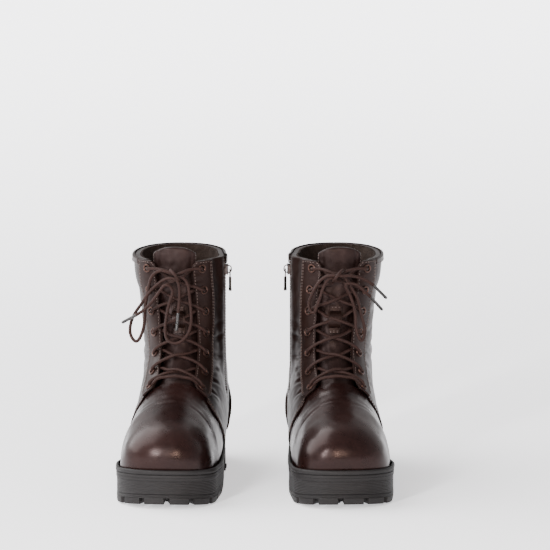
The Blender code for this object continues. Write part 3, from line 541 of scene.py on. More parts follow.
def stance_matrix(side):
    """From a boot's own frame in metres to the pair's frame."""
    ball_x, toe_out = STANCE[side]
    mirror = Matrix.Scale(-1.0, 4, Vector((1.0, 0.0, 0.0))) if side == "left" else Matrix.Identity(4)
    turn = Matrix.Rotation(math.radians(-toe_out if side == "right" else toe_out), 4, "Z")
    pivot = Matrix.Translation(Vector((0.0, BALL_Y * MM, 0.0)))
    stand = Matrix.Translation(Vector((ball_x + PAIR_SHIFT[0], PAIR_SHIFT[1], 0.0)) * MM)
    return stand @ pivot @ turn @ pivot.inverted() @ mirror


def place(side, shape):
    """Makes one kept piece on one side and joins it to its body."""
    name, points, faces, material, slot_name, nodes, body, sharp = shape
    matrix = np.array(stance_matrix(side))
    world = points @ matrix[:3, :3].T + matrix[:3, 3] / MM
    obj = mesh_object(side + "_" + name, world, faces, material, sharp)
    if nodes:
        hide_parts(*[side + "_" + n for n in nodes])
    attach(obj, body if body == "boots" else side + "_" + body)
    return obj


def tube(path, radius, sides=12, shape=None):
    """A closed tube of rings along a path; shape gives each ring's radius factors."""
    path = np.asarray(path, float)
    tangent = np.gradient(path, axis=0)
    tangent /= np.linalg.norm(tangent, axis=1)[:, None]
    normal = np.zeros_like(path)
    start = np.cross(tangent[0], [0.0, 0.0, 1.0])
    if np.linalg.norm(start) < 0.1:
        start = np.cross(tangent[0], [1.0, 0.0, 0.0])
    normal[0] = start / np.linalg.norm(start)
    for i in range(1, len(path)):
        step = normal[i - 1] - tangent[i] * (normal[i - 1] @ tangent[i])
        normal[i] = step / np.linalg.norm(step)
    binormal = np.cross(tangent, normal)
    angle = 2.0 * math.pi * np.arange(sides) / sides
    factor = np.ones((len(path), sides)) if shape is None else shape(np.arange(len(path)), angle)
    ring = normal[:, None] * np.cos(angle)[None, :, None] + binormal[:, None] * np.sin(angle)[None, :, None]
    points = path[:, None] + radius * factor[..., None] * ring
    n = len(path)
    ids = np.arange(n * sides).reshape(n, sides)
    after = np.roll(ids, -1, axis=1)
    quads = np.stack([ids[:-1], after[:-1], after[1:], ids[1:]], axis=-1).reshape(-1, 4)
    faces = [tuple(q) for q in quads.tolist()]
    faces += [tuple(ids[0][::-1].tolist()), tuple(ids[-1].tolist())]
    return points.reshape(-1, 3), faces


def join(parts):
    """Several point and face lists as one."""
    points, faces, base = [], [], 0
    for p, f in parts:
        points.append(np.asarray(p, float))
        faces += [tuple(v + base for v in face) for face in f]
        base += len(p)
    return np.vstack(points), faces


def turned(profile, centre, axis, sides=24):
    """A closed ring or a capped turned body from (radius, height) points about an axis."""
    axis = np.asarray(axis, float) / np.linalg.norm(axis)
    first = np.cross(axis, [0.0, 0.0, 1.0] if abs(axis[2]) < 0.9 else [1.0, 0.0, 0.0])
    first /= np.linalg.norm(first)
    second = np.cross(axis, first)
    angle = 2.0 * math.pi * np.arange(sides) / sides
    spoke = np.cos(angle)[:, None] * first + np.sin(angle)[:, None] * second
    profile = np.asarray(profile, float)
    points = centre + profile[None, :, 0, None] * spoke[:, None] + profile[None, :, 1, None] * axis
    n = len(profile)
    faces = []
    for i in range(sides):
        j = (i + 1) % sides
        for k in range(n):
            h = (k + 1) % n
            faces.append((i * n + k, j * n + k, j * n + h, i * n + h))
    return points.reshape(-1, 3), faces


def box(centre, size, bevel=0.2, turn=None):
    """A box with chamfered edges: three nested rings each way."""
    half = np.array(size) / 2.0
    points, faces = [], []
    levels = [(-half[2], bevel), (-half[2] + bevel, 0.0), (half[2] - bevel, 0.0), (half[2], bevel)]
    for z, inset in levels:
        a = half[0] - inset
        b = half[1] - inset
        c = bevel
        for x, y in ((a - c, -b), (a, -b + c), (a, b - c), (a - c, b),
                     (c - a, b), (-a, b - c), (-a, c - b), (c - a, -b)):
            points.append((x, y, z))
    for k in range(3):
        for i in range(8):
            j = (i + 1) % 8
            faces.append((k * 8 + i, k * 8 + j, k * 8 + 8 + j, k * 8 + 8 + i))
    faces += [tuple(range(7, -1, -1)), tuple(range(24, 32))]
    points = np.array(points)
    if turn is not None:
        points = points @ np.asarray(turn).T
    return points + np.array(centre), faces


def even_line(points, pitch):
    """A polyline read at an even pitch."""
    run = np.concatenate([[0.0], np.cumsum(np.linalg.norm(np.diff(points, axis=0), axis=1))])
    at = np.linspace(0.0, run[-1], max(2, int(run[-1] / pitch)) + 1)
    line = np.column_stack([np.interp(at, run, points[:, k]) for k in range(points.shape[1])])
    return line


STITCHES = []
STITCH_PITCH = 3.1
STITCH_LENGTH = 2.3


def stitch(station, m, lift, relief=None):
    """A row of stitches along a line of places."""
    points, normals = on_form(station, m)
    if relief is not None:
        lift = lift + relief(points, station, m)
    surface = points + np.asarray(lift)[..., None] * normals
    both = np.column_stack([surface, normals])
    line = even_line(both, STITCH_PITCH)
    for i in range(len(line) - 1):
        a = line[i, :3]
        b = line[i + 1, :3]
        normal = line[i, 3:] / np.linalg.norm(line[i, 3:])
        way = (b - a) / np.linalg.norm(b - a)
        half = STITCH_LENGTH / 2.0
        middle = (a + b) / 2.0
        t = np.array([-1.0, -0.75, -0.3, 0.3, 0.75, 1.0])
        height = 0.16 - 0.42 * t ** 4
        path = middle + t[:, None] * half * way + height[:, None] * normal
        side = np.cross(normal, way)
        ring = np.array([(math.cos(q), math.sin(q)) for q in np.arange(6) * math.pi / 3.0])
        radius = 0.34 * np.sqrt(np.maximum(0.06, 1.0 - t ** 4))
        spoke = ring[None, :, :1] * side + ring[None, :, 1:] * normal * 0.8
        p = path[:, None] + radius[:, None, None] * spoke
        ids = np.arange(36).reshape(6, 6)
        after = np.roll(ids, -1, axis=1)
        quads = np.stack([ids[:-1], after[:-1], after[1:], ids[1:]], axis=-1).reshape(-1, 4).tolist()
        STITCHES.append((p.reshape(-1, 3), [tuple(q) for q in quads] + [tuple(ids[0][::-1]), tuple(ids[-1])]))


# --------------------------------------------------------------------------------------- materials

MATERIALS = {}

# The floor glows more with distance from the boots, from the first to the second pair of values.
FLOOR_COLOUR = (0.83, 0.826, 0.845)
FLOOR_NEAR_FAR = (0.1, 4.0)
FLOOR_GLOW = (0.9, 4.6)
LEATHER_TINT = (1.0, 0.78, 0.76, 1.0)


class Nodes:
    """A small helper for building one node material."""

    def __init__(self, name):
        self.material = bpy.data.materials.new(name)
        self.material.use_nodes = True
        self.tree = self.material.node_tree
        self.shader = self.tree.nodes["Principled BSDF"]
        self.place = self.add("ShaderNodeTexCoord").outputs["Object"]
        MATERIALS[name] = self.material

    def add(self, kind, **values):
        node = self.tree.nodes.new(kind)
        for key, item in values.items():
            if hasattr(node, key):
                setattr(node, key, item)
            else:
                node.inputs[key.replace("_", " ")].default_value = item
        return node

    def link(self, source, target):
        self.tree.links.new(source, target)

    def stretched(self, scale):
        node = self.add("ShaderNodeMapping")
        node.inputs["Scale"].default_value = scale
        self.link(self.place, node.inputs["Vector"])
        return node.outputs["Vector"]

    def noise(self, size_mm, detail=3.0, roughness=0.55, place=None, distortion=0.0):
        node = self.add("ShaderNodeTexNoise", Scale=1000.0 / size_mm, Detail=detail)
        node.inputs["Roughness"].default_value = roughness
        node.inputs["Distortion"].default_value = distortion
        self.link(place or self.place, node.inputs["Vector"])
        return node.outputs["Fac"]

    def wave(self, size_mm, direction, place=None, distortion=0.0):
        node = self.add("ShaderNodeTexWave", bands_direction=direction)
        node.inputs["Scale"].default_value = 1000.0 / size_mm / 6.283 * 2.0
        node.inputs["Distortion"].default_value = distortion
        self.link(place or self.place, node.inputs["Vector"])
        return node.outputs["Fac"]

    def ramp(self, source, stops):
        node = self.add("ShaderNodeValToRGB")
        while len(node.color_ramp.elements) < len(stops):
            node.color_ramp.elements.new(0.5)
        for element, (position, colour) in zip(node.color_ramp.elements, stops):
            element.position = position
            element.color = (*colour, 1.0) if hasattr(colour, "__len__") else (colour, colour, colour, 1.0)
        self.link(source, node.inputs["Fac"])
        return node.outputs["Color"]

    def math(self, operation, a, b):
        node = self.add("ShaderNodeMath", operation=operation)
        for socket, item in zip(node.inputs, (a, b)):
            if isinstance(item, (int, float)):
                socket.default_value = item
            else:
                self.link(item, socket)
        return node.outputs["Value"]

    def mix(self, factor, a, b, blend="MIX"):
        node = self.add("ShaderNodeMixRGB", blend_type=blend)
        for socket, item in zip(node.inputs, (factor, a, b)):
            if isinstance(item, (int, float)):
                socket.default_value = item if socket.type == "VALUE" else (item, item, item, 1.0)
            elif isinstance(item, tuple):
                socket.default_value = (*item, 1.0)
            else:
                self.link(item, socket)
        return node.outputs["Color"]

    def bump(self, height, depth_mm, strength=1.0, normal=None):
        node = self.add("ShaderNodeBump")
        node.inputs["Strength"].default_value = strength
        node.inputs["Distance"].default_value = depth_mm * MM
        self.link(height, node.inputs["Height"])
        if normal is not None:
            self.link(normal, node.inputs["Normal"])
        return node.outputs["Normal"]

    def finish(self, colour, roughness, normal=None, metallic=0.0, **plain):
        for name, item in (("Base Color", colour), ("Roughness", roughness)):
            if isinstance(item, (int, float)):
                self.shader.inputs[name].default_value = item
            elif isinstance(item, tuple):
                self.shader.inputs[name].default_value = (*item, 1.0)
            else:
                self.link(item, self.shader.inputs[name])
        if normal is not None:
            self.link(normal, self.shader.inputs["Normal"])
        self.shader.inputs["Metallic"].default_value = metallic
        for name, item in plain.items():
            self.shader.inputs[name.replace("_", " ")].default_value = item
        return self.material


def leather_material(name, dark, base, worn, shine, specular, wrinkled):
    """Smooth waxed leather: fine grain, colour that lightens in patches, and long wrinkles where wanted."""
    n = Nodes(name)
    patches = n.noise(38.0, 4.0, 0.6)
    mottle = n.noise(7.0, 5.0, 0.65)
    colour = n.ramp(patches, [(0.32, dark), (0.52, base), (0.74, worn)])
    colour = n.mix(n.ramp(mottle, [(0.35, 0.0), (0.7, 0.32)]), colour, worn)
    grain = n.noise(1.6, 4.0, 0.6)
    normal = n.bump(grain, 0.06, 0.35)
    if wrinkled:
        wrinkle = n.noise(9.0, 5.0, 0.6, n.stretched((0.45, 0.45, 1.9)), 0.6)
        normal = n.bump(n.ramp(wrinkle, [(0.35, 0.0), (0.5, 1.0), (0.65, 0.0)]), -0.08, wrinkled, normal)
    gloss = n.ramp(n.noise(14.0, 4.0, 0.6), [(0.3, shine[0]), (0.72, shine[1])])
    rough = n.mix(n.ramp(grain, [(0.4, 0.0), (0.75, 0.15)]), gloss, 0.55)
    return n.finish(colour, rough, normal, Specular_IOR_Level=specular, Specular_Tint=LEATHER_TINT)


# Name, dark, base and worn colour, range of roughness, specular level, strength of the wrinkles.
LEATHERS = [
    ("vamp_leather", (0.0046, 0.0015, 0.0013), (0.0090, 0.0033, 0.0028), (0.0150, 0.0064, 0.0056),
     (0.25, 0.33), 0.22, 0.0),
    ("shaft_leather", (0.0036, 0.0015, 0.0011), (0.0068, 0.0030, 0.0023), (0.0130, 0.0064, 0.0052),
     (0.36, 0.48), 0.14, 0.2),
    ("facing_leather", (0.0044, 0.0018, 0.0013), (0.0080, 0.0035, 0.0026), (0.0140, 0.0068, 0.0054),
     (0.34, 0.46), 0.15, 0.15),
    ("tongue_leather", (0.0064, 0.0030, 0.0025), (0.0115, 0.0058, 0.0052), (0.0190, 0.0108, 0.0096),
     (0.38, 0.52), 0.16, 0.2),
]


def make_materials():
    for row in LEATHERS:
        leather_material(*row)

    n = Nodes("rubber")
    fine = n.noise(1.1, 4.0, 0.7)
    scuff = n.noise(22.0, 5.0, 0.65, n.stretched((0.5, 0.5, 2.2)))
    colour = n.ramp(scuff, [(0.35, (0.0088, 0.0076, 0.0078)), (0.6, (0.0120, 0.0104, 0.0106)),
                            (0.85, (0.018, 0.0158, 0.016))])
    rough = n.ramp(fine, [(0.3, 0.50), (0.7, 0.68)])
    n.finish(colour, rough, n.bump(fine, 0.06, 0.6), Specular_IOR_Level=0.22)

    n = Nodes("pile")
    tuft = n.noise(1.4, 3.0, 0.8)
    clump = n.noise(9.0, 4.0, 0.6)
    colour = n.mix(0.5, n.ramp(tuft, [(0.3, (0.008, 0.0048, 0.004)), (0.7, (0.040, 0.027, 0.022))]),
                   n.ramp(clump, [(0.3, (0.012, 0.0078, 0.0064)), (0.7, (0.026, 0.018, 0.015))]))
    normal = n.bump(tuft, 0.9, 0.9, n.bump(clump, 0.8, 0.5))
    n.finish(colour, 0.95, normal, Specular_IOR_Level=0.1)

    n = Nodes("wadding")
    fibre = n.noise(2.2, 6.0, 0.8, None, 2.0)
    colour = n.ramp(fibre, [(0.3, (0.26, 0.24, 0.21)), (0.7, (0.44, 0.42, 0.38))])
    n.finish(colour, 0.95, n.bump(fibre, 0.6, 0.8))

    n = Nodes("fibre_board")
    fleck = n.noise(3.0, 6.0, 0.75)
    colour = n.ramp(fleck, [(0.3, (0.22, 0.16, 0.10)), (0.7, (0.38, 0.29, 0.19))])
    n.finish(colour, 0.85, n.bump(fleck, 0.2, 0.5))

    n = Nodes("spring_steel")
    brush = n.noise(0.8, 3.0, 0.6, n.stretched((4.0, 0.15, 1.0)))
    n.finish(n.ramp(brush, [(0.3, (0.34, 0.34, 0.35)), (0.7, (0.52, 0.52, 0.53))]),
             n.ramp(brush, [(0.3, 0.28), (0.7, 0.42)]), n.bump(brush, 0.02, 0.4), 1.0)

    n = Nodes("lace_cord")
    fibre = n.noise(0.5, 3.0, 0.7)
    tone = n.noise(12.0, 2.0, 0.5)
    colour = n.mix(0.5, n.ramp(fibre, [(0.3, (0.009, 0.0030, 0.0021)), (0.75, (0.036, 0.0138, 0.0102))]),
                   n.ramp(tone, [(0.3, (0.011, 0.0040, 0.0029)), (0.7, (0.021, 0.0082, 0.0062))]))
    n.finish(colour, 0.72, n.bump(fibre, 0.12, 0.7), Specular_IOR_Level=0.2)

    n = Nodes("thread")
    twist = n.wave(0.7, "DIAGONAL")
    colour = n.ramp(twist, [(0.2, (0.026, 0.015, 0.012)), (0.8, (0.095, 0.062, 0.053))])
    n.finish(colour, 0.6, n.bump(twist, 0.05, 0.6))

    n = Nodes("antique_brass")
    wear = n.noise(2.4, 4.0, 0.6)
    n.finish(n.ramp(wear, [(0.3, (0.030, 0.016, 0.013)), (0.6, (0.070, 0.040, 0.033)),
                           (0.8, (0.150, 0.098, 0.082))]),
             n.ramp(wear, [(0.3, 0.46), (0.75, 0.27)]), n.bump(wear, 0.03, 0.4), 1.0)

    n = Nodes("gunmetal")
    wear = n.noise(1.6, 4.0, 0.6)
    n.finish(n.ramp(wear, [(0.3, (0.030, 0.024, 0.0225)), (0.75, (0.085, 0.070, 0.066))]),
             n.ramp(wear, [(0.3, 0.40), (0.75, 0.24)]), n.bump(wear, 0.02, 0.4), 1.0)

    n = Nodes("zip_weave")
    warp = n.wave(0.9, "Z")
    weft = n.wave(0.9, "Y")
    weave = n.math("MULTIPLY", warp, weft)
    colour = n.ramp(weave, [(0.0, (0.008, 0.006, 0.006)), (1.0, (0.030, 0.022, 0.021))])
    n.finish(colour, 0.88, n.bump(weave, 0.12, 0.8))

    n = Nodes("dark_plastic")
    swirl = n.noise(3.0, 3.0, 0.5)
    n.finish(n.ramp(swirl, [(0.3, (0.006, 0.005, 0.005)), (0.7, (0.014, 0.011, 0.010))]),
             n.ramp(swirl, [(0.3, 0.22), (0.7, 0.36)]), n.bump(swirl, 0.02, 0.4))

    n = Nodes("floor")
    reach = n.add("ShaderNodeVectorMath", operation="LENGTH")
    n.link(n.place, reach.inputs[0])
    glow = n.add("ShaderNodeMapRange", interpolation_type="SMOOTHSTEP")
    n.link(reach.outputs["Value"], glow.inputs["Value"])
    for socket, item in zip(("From Min", "From Max", "To Min", "To Max"), (*FLOOR_NEAR_FAR, *FLOOR_GLOW)):
        glow.inputs[socket].default_value = item
    n.link(glow.outputs["Result"], n.shader.inputs["Emission Strength"])
    n.finish(FLOOR_COLOUR, 0.9)
    n.shader.inputs["Emission Color"].default_value = (*FLOOR_COLOUR, 1.0)


make_materials()


# ------------------------------------------------------------------------------------------- upper

TOP = 3.0 + (TOP_Z - ANKLE_AXIS[1]) / 50.0


def seam_station(q):
    return THROAT - 0.03 * np.sin(math.pi * q) + 0.09 * q ** 2


def rounded_front(station, first):
    corner = np.clip(1.0 - (station - THROAT) / 0.10, 0.0, 1.0)
    return first + 7.0 * corner ** 2


# Valleys across the ankle, as (y, z, rise per mm of y, half length, half width, depth).
ANKLE_CREASES = {
    1: [(2.0, 128.0, -0.25, 30.0, 2.3, 1.5), (-6.0, 117.0, -0.35, 26.0, 2.0, 1.6),
        (8.0, 140.0, 0.10, 34.0, 2.6, 1.2), (-12.0, 106.0, -0.45, 20.0, 1.8, 1.2),
        (20.0, 152.0, 0.22, 30.0, 3.0, 0.8), (62.0, 124.0, 0.15, 26.0, 3.0, 0.9),
        (70.0, 141.0, 0.05, 24.0, 3.2, 0.7), (-20.0, 95.0, -0.50, 16.0, 1.8, 0.8)],
    -1: [(4.0, 131.0, -0.15, 32.0, 2.4, 1.5), (-4.0, 119.0, -0.32, 28.0, 2.2, 1.5),
         (12.0, 146.0, 0.15, 34.0, 2.8, 1.1), (-14.0, 104.0, -0.42, 20.0, 1.9, 1.0),
         (60.0, 130.0, 0.10, 30.0, 3.0, 1.0), (66.0, 116.0, 0.20, 24.0, 3.0, 0.7),
         (30.0, 168.0, 0.05, 32.0, 3.4, 0.6)],
}
VAMP_CREASES = [
    (-70.0, 0.05, 26.0, 2.2, 0.12),
    (-60.0, -0.04, 30.0, 2.4, 0.16),
    (-50.0, 0.03, 24.0, 2.2, 0.14),
]


def fold(t, width, depth):
    """A valley with a soft swell on both sides."""
    valley = -depth * np.exp(-(t / width) ** 2)
    swell = 0.45 * depth * np.exp(-((np.abs(t) - 2.1 * width) / (1.1 * width)) ** 2)
    return valley + swell


def relief(points, station, m):
    """Wear of the upper's leather: creases at the ankle, and soft unevenness."""
    x, y, z = points[..., 0], points[..., 1], points[..., 2]
    lift = 0.22 * waves(points, 34.0, 3) + 0.10 * waves(points, 13.0, 5)
    inner = m > 0.0
    for sign, creases in ANKLE_CREASES.items():
        part = np.zeros_like(x)
        for at_y, at_z, slope, length, width, depth in creases:
            bend = at_z + slope * (y - at_y) + 1.2 * np.sin((y - at_y) / 7.0 + at_z)
            part += fold(z - bend, width, depth) * np.exp(-((y - at_y) / length) ** 4)
        lift = lift + np.where(inner == (sign > 0), part, 0.0) * np.clip((np.abs(m) - 34.0) / 8.0, 0.0, 1.0)
    near_zip = np.exp(-((y - ZIP_Y) / 12.0) ** 4) * (x > 20.0) * (z > 70.0)
    lift = lift * (1.0 - near_zip)
    low = np.clip((z - value(FEATHER, 0.0) - 8.0) / 10.0, 0.0, 1.0)
    return np.clip(lift * low, -1.5, 0.9)


def vamp_relief(points, station, m):
    x, y, z = points[..., 0], points[..., 1], points[..., 2]
    lift = 0.16 * waves(points, 42.0, 11) + 0.06 * waves(points, 14.0, 12)
    for at_y, slope, length, width, depth in VAMP_CREASES:
        bend = at_y + slope * x + 1.1 * np.sin(x / 6.0 + at_y)
        lift = lift + fold(y - bend, width, depth) * np.exp(-((np.abs(x) - 16.0) / length) ** 4)
    low = np.clip((z - 42.0) / 12.0, 0.0, 1.0)
    return np.clip(lift * low, -0.9, 0.6)


def vamp():
    r = np.concatenate([np.linspace(0.0, 1.0, 66)[:-1], np.linspace(1.0, 2.0, 64)])
    f = np.linspace(-1.0, 1.0, 150)
    reach = 1.20 + 0.13 * f[None, :] ** 2
    station = np.where(r[:, None] <= 1.0, r[:, None], 1.0 + (r[:, None] - 1.0) * reach)
    m = f[None, :] * full(station)
    panel("vamp", [(station, m)], VAMP, "vamp_leather", "leather", ("vamp",),
          rounded=(0, 0, 0, 0), relief=vamp_relief)


def quarter_rows():
    stretch = [(THROAT, 2.45, 46), (2.45, 2.70, 40), (2.70, 3.0, 40), (3.0, TOP, 26)]
    parts = [np.linspace(a, b, n, endpoint=False) for a, b, n in stretch[:-1]]
    last = 3.0 + graded((TOP - 3.0) * 50.0, 1.6, start=False) * (TOP - 3.0)
    head = THROAT + np.array([0.0, 0.0025, 0.006]) 
    return np.concatenate([head, parts[0][1:], parts[1], parts[2], last])


def quarter_places(side, low, high):
    """Grid of a quarter between two fractions of its width, each a function of the row."""
    row = quarter_rows()[:, None]
    q = graded(120.0, 1.9)[None, :]
    a = low(row)
    b = high(row)
    across = a + (b - a) * q
    blend = np.clip((2.45 - row) / (2.45 - THROAT), 0.0, None)
    station = row + (seam_station(across) - THROAT) * blend
    first = rounded_front(station, QUARTER_FRONT)
    m = first + across * (full(station, QUARTER_LIFT) - 0.25 - first)
    return station, side * m


def zip_middle(station):
    """The run at which the zip's line crosses each station."""
    result = []
    for s in np.atleast_1d(station):
        ridge, end = section_ends(s)
        way = end - ridge
        z = ridge[1] + (ZIP_Y - ridge[0]) / way[0] * way[1]
        slope = abs(way[0]) / np.linalg.norm(way)
        result.append((from_side(ZIP_Y, z)[1], z, slope))
    return np.array(result)


def lateral_quarter():
    grid = quarter_places(-1.0, lambda r: 0.0 * r, lambda r: 0.0 * r + 1.0)
    panel("quarter_lateral", [grid], QUARTER, "shaft_leather", "leather", ("quarter_lateral",),
          rounded=(1, 1, 0, 0), relief=relief)


def medial_quarter():
    row = quarter_rows()
    low = row < SLIT_STATION
    middle = zip_middle(np.where(low, SLIT_STATION, row))
    open_half = ZIP_SLIT * np.clip((middle[:, 1] - (ZIP_BOTTOM - 6.0)) / 6.0, 0.0, 1.0) / middle[:, 2]
    open_half = np.where(low, 0.0, open_half)
    blend = np.clip((2.45 - row) / (2.45 - THROAT), 0.0, None)
    fractions = graded(100.0, 2.0)
    parts = []
    for part, (a, b) in enumerate(((0.0, SPLIT), (SPLIT, 1.0))):
        across = a + (b - a) * fractions[None, :]
        station = row[:, None] + (seam_station(across) - THROAT) * blend[:, None]
        first = rounded_front(station, QUARTER_FRONT)
        last = full(station, QUARTER_LIFT) - 0.25
        split = np.where(low[:, None], full(row[:, None], QUARTER_LIFT) * SPLIT, middle[:, :1])
        if part == 0:
            m = first + fractions[None, :] * (split - open_half[:, None] - first)
            distance = (1.0 - fractions[None, :]) * (split - first)
        else:
            m = split + open_half[:, None] + fractions[None, :] * (last - split - open_half[:, None])
            distance = fractions[None, :] * (last - split)
        closed = 1.0 - np.clip(open_half / ZIP_SLIT, 0.0, 1.0)
        parts.append((station, m, distance + 30.0 * closed[:, None]))
    pieces = [panel_arrays(s, m, QUARTER, rounded=(1, 1, 0, 0), relief=relief, gap=d) for s, m, d in parts]
    top, bottom, faces = weld(pieces, 0.05)
    keep("quarter_medial", *close_sheet(top, bottom, faces), "shaft_leather", "leather", ("quarter_medial",))


def eyelet_stations():
    stations = rows(2.22, 3.66, 120)
    line, _ = on_form(stations, np.full(121, EYELET_M))
    run = np.concatenate([[0.0], np.cumsum(np.linalg.norm(np.diff(line, axis=0), axis=1))])
    return np.interp(np.linspace(1.5, run[-1] - 8.5, EYELETS), run, stations)


EYELET_AT = eyelet_stations()


def facing_last(station):
    return np.minimum(FACING_EDGE, EYELET_M + 7.5 + (station - THROAT) * 90.0)


def facing(side, name):
    station = THROAT + 0.012 + graded(205.0, 1.6) * (TOP - 0.01 - THROAT - 0.012)
    q = graded(22.0, 1.1)[None, :]
    station = station[:, None] + 0.0 * q
    first = rounded_front(station, GAP_HALF) + 0.4
    upper_corner = np.clip(1.0 - (TOP - 0.01 - station) * 50.0 / 7.0, 0.0, 1.0)
    first = first + 5.0 * upper_corner ** 2.5
    last = facing_last(station)
    m = side * (first + q * (last - first))
    centres, _ = on_form(EYELET_AT, np.full(EYELETS, side * EYELET_M))

    def hole(middle):
        return np.linalg.norm(middle[:, None] - centres[None], axis=2).min(axis=1) < EYELET_HOLE

    panel(name, [(station, m)], OVERLAY, "facing_leather", "leather", (name,),
          relief=facing_relief, hole=hole, radius=0.7)
    low, high = THROAT + 0.05, TOP - 0.03
    for edge, inset in ((0, 1.6), (0, 3.4), (1, 1.4), (1, 3.0)):
        line = np.linspace(low, high, 240)
        if edge:
            at = facing_last(line) - inset
        else:
            corner = np.clip(1.0 - (TOP - 0.01 - line) * 50.0 / 7.0, 0.0, 1.0)
            at = rounded_front(line, GAP_HALF) + 0.4 + 5.0 * corner ** 2.5 + inset
        if edge == 0 and inset > 2.0:
            continue
        stitch(line, side * at, OVERLAY[0], facing_relief)
    across = np.linspace(GAP_HALF + 7.0, FACING_EDGE - 4.0, 30)
    stitch(np.full(30, TOP - 0.045), side * across, OVERLAY[0], facing_relief)


EYELET_HOLE = 3.1


def facing_relief(points, station, m):
    near_edge = np.clip((30.0 - np.abs(m)) / 12.0, 0.0, 1.0)
    wave = 0.16 * waves(points, 30.0, 21) + 0.35 * np.sin(station * 40.0) * near_edge
    return wave * np.clip((station - THROAT) / 0.1, 0.0, 1.0)


def eyelets():
    """Turned rings with a rolled rim through the facing, one at every hole."""
    profile = [(2.5, -1.3), (2.9, -1.5), (3.3, -1.2), (3.2, 0.2), (4.2, 0.25), (4.5, 0.55), (4.35, 0.95),
               (3.9, 1.2), (3.2, 1.15), (2.65, 0.8), (2.45, 0.2)]
    parts = []
    for side in (1.0, -1.0):
        points, normals = on_form(EYELET_AT, np.full(EYELETS, side * EYELET_M))
        extra = facing_relief(points, EYELET_AT, np.full(EYELETS, side * EYELET_M))
        for p, n, e in zip(points, normals, extra):
            parts.append(turned(profile, p + (OVERLAY[0] + e) * n, n, 28))
    keep("eyelets", *join(parts), "antique_brass", "zip_metal", ())


def back_edge_all(z):
    y = np.interp(z, BACK_LINE[250:, 1], BACK_LINE[250:, 0])
    return y


def from_side_all(y, z):
    flat = [from_side(a, b) for a, b in zip(np.ravel(y), np.ravel(z))]
    result = np.array(flat).reshape(*np.shape(y), 2)
    return result[..., 0], result[..., 1]


def counter_cover():
    reach = 62.0
    r = graded(55.0, 2.0)[:, None]
    q = np.linspace(0.0, 1.0, 44)[None, :]
    q = np.concatenate([q[:, :-1], 1.0 - np.array([[0.012, 0.006, 0.0]])], axis=1)
    y0 = 127.0 - reach * (1.0 - np.cos(q * math.pi / 2.0))
    low = cubic(FEATHER, y0.ravel())[:, 0][None, :] + 5.2
    high = 98.0 - 44.0 * q ** 2.2
    z = low + r * (high - low)
    y = back_edge_all(np.maximum(z, 40.0)) - reach * (1.0 - np.cos(q * math.pi / 2.0))
    station, m = from_side_all(y, z)
    end = np.array([full_run(s) for s in station[:, 0]])
    m[:, 0] = end
    m = np.minimum(m, np.array([full(s) for s in station]))
    grids = [(station, m), (station, -m)]
    parts = [panel_arrays(*g, COVER, rounded=(1, 1, 0, 1), relief=relief) for g in grids]
    top, bottom, faces = weld(parts, 0.05)
    keep("heel_counter_cover", *close_sheet(top, bottom, faces),
         "shaft_leather", "leather", ("heel_counter_cover",))
    for inset in (1.8, 3.8):
        line_r = 1.0 - inset / 55.0
        at_z = low + line_r * (high - low)
        at_y = back_edge_all(np.maximum(at_z, 40.0)) - reach * (1.0 - np.cos(q * math.pi / 2.0))
        s, mm = from_side_all(at_y, at_z)
        s, mm = s.ravel()[:-2], mm.ravel()[:-2]
        mm = np.minimum(mm, full(s))
        for side in (1.0, -1.0):
            stitch(s, side * mm, COVER[0], relief)


def back_strip():
    z = 102.0 + graded(TOP_Z - 8.0 - 102.0, 2.4) * (TOP_Z - 8.0 - 102.0)
    y = back_edge_all(z)
    station, _ = from_side_all(y, z)
    end = np.array([full_run(s) for s in station])
    inset = np.concatenate([[0.0], np.linspace(1.0, 6.5, 6), [7.4, 8.0, 8.3, 8.5]])
    grids = []
    for side in (1.0, -1.0):
        grids.append((station[:, None] + 0.0 * inset[None, :], side * (end[:, None] - inset[None, :])))
    parts = [panel_arrays(*g, OVERLAY, rounded=(1, 1, 0, 1), relief=relief) for g in grids]
    top, bottom, faces = weld(parts, 0.05)
    keep("back_strip", *close_sheet(top, bottom, faces), "facing_leather", "leather", ("back_strip",))
    for side in (1.0, -1.0):
        stitch(station[2:-2], side * (end[2:-2] - 6.6), OVERLAY[0], relief)


def binding():
    z = TOP_Z - 6.5 + graded(6.0, 1.0, (0.0, 0.2, 0.5, 0.9)) * 6.0
    station = 3.0 + (z - ANKLE_AXIS[1]) / 50.0
    middle = zip_middle(station)[:, 0]
    end = full(station)
    a = np.linspace(0.0, 1.0, 50)
    a = np.concatenate([[0.0, 0.004, 0.01], a[1:]])
    m_inner = (middle + 8.0)[:, None] + a[None, :] * (end - middle - 8.0)[:, None]
    m_outer = (FACING_EDGE + 1.0) + a[None, :] * (end - FACING_EDGE - 1.0)[:, None]
    grids = [(station[:, None] + 0 * m_inner, m_inner), (station[:, None] + 0 * m_outer, -m_outer)]
    parts = [panel_arrays(*g, BINDING, rounded=(1, 1, 1, 0)) for g in grids]
    top, bottom, faces = weld(parts, 0.05)
    keep("top_binding", *close_sheet(top, bottom, faces), "facing_leather", "leather_edge", ("top_binding",))
    line = np.full(80, TOP - 0.115)
    at = np.linspace(0.0, 1.0, 80)
    stitch(line, (middle[0] + 9.0) + at * (end[0] - middle[0] - 9.0), BINDING[0])
    stitch(line, -((FACING_EDGE + 2.0) + at * (end[0] - FACING_EDGE - 2.0)), BINDING[0])


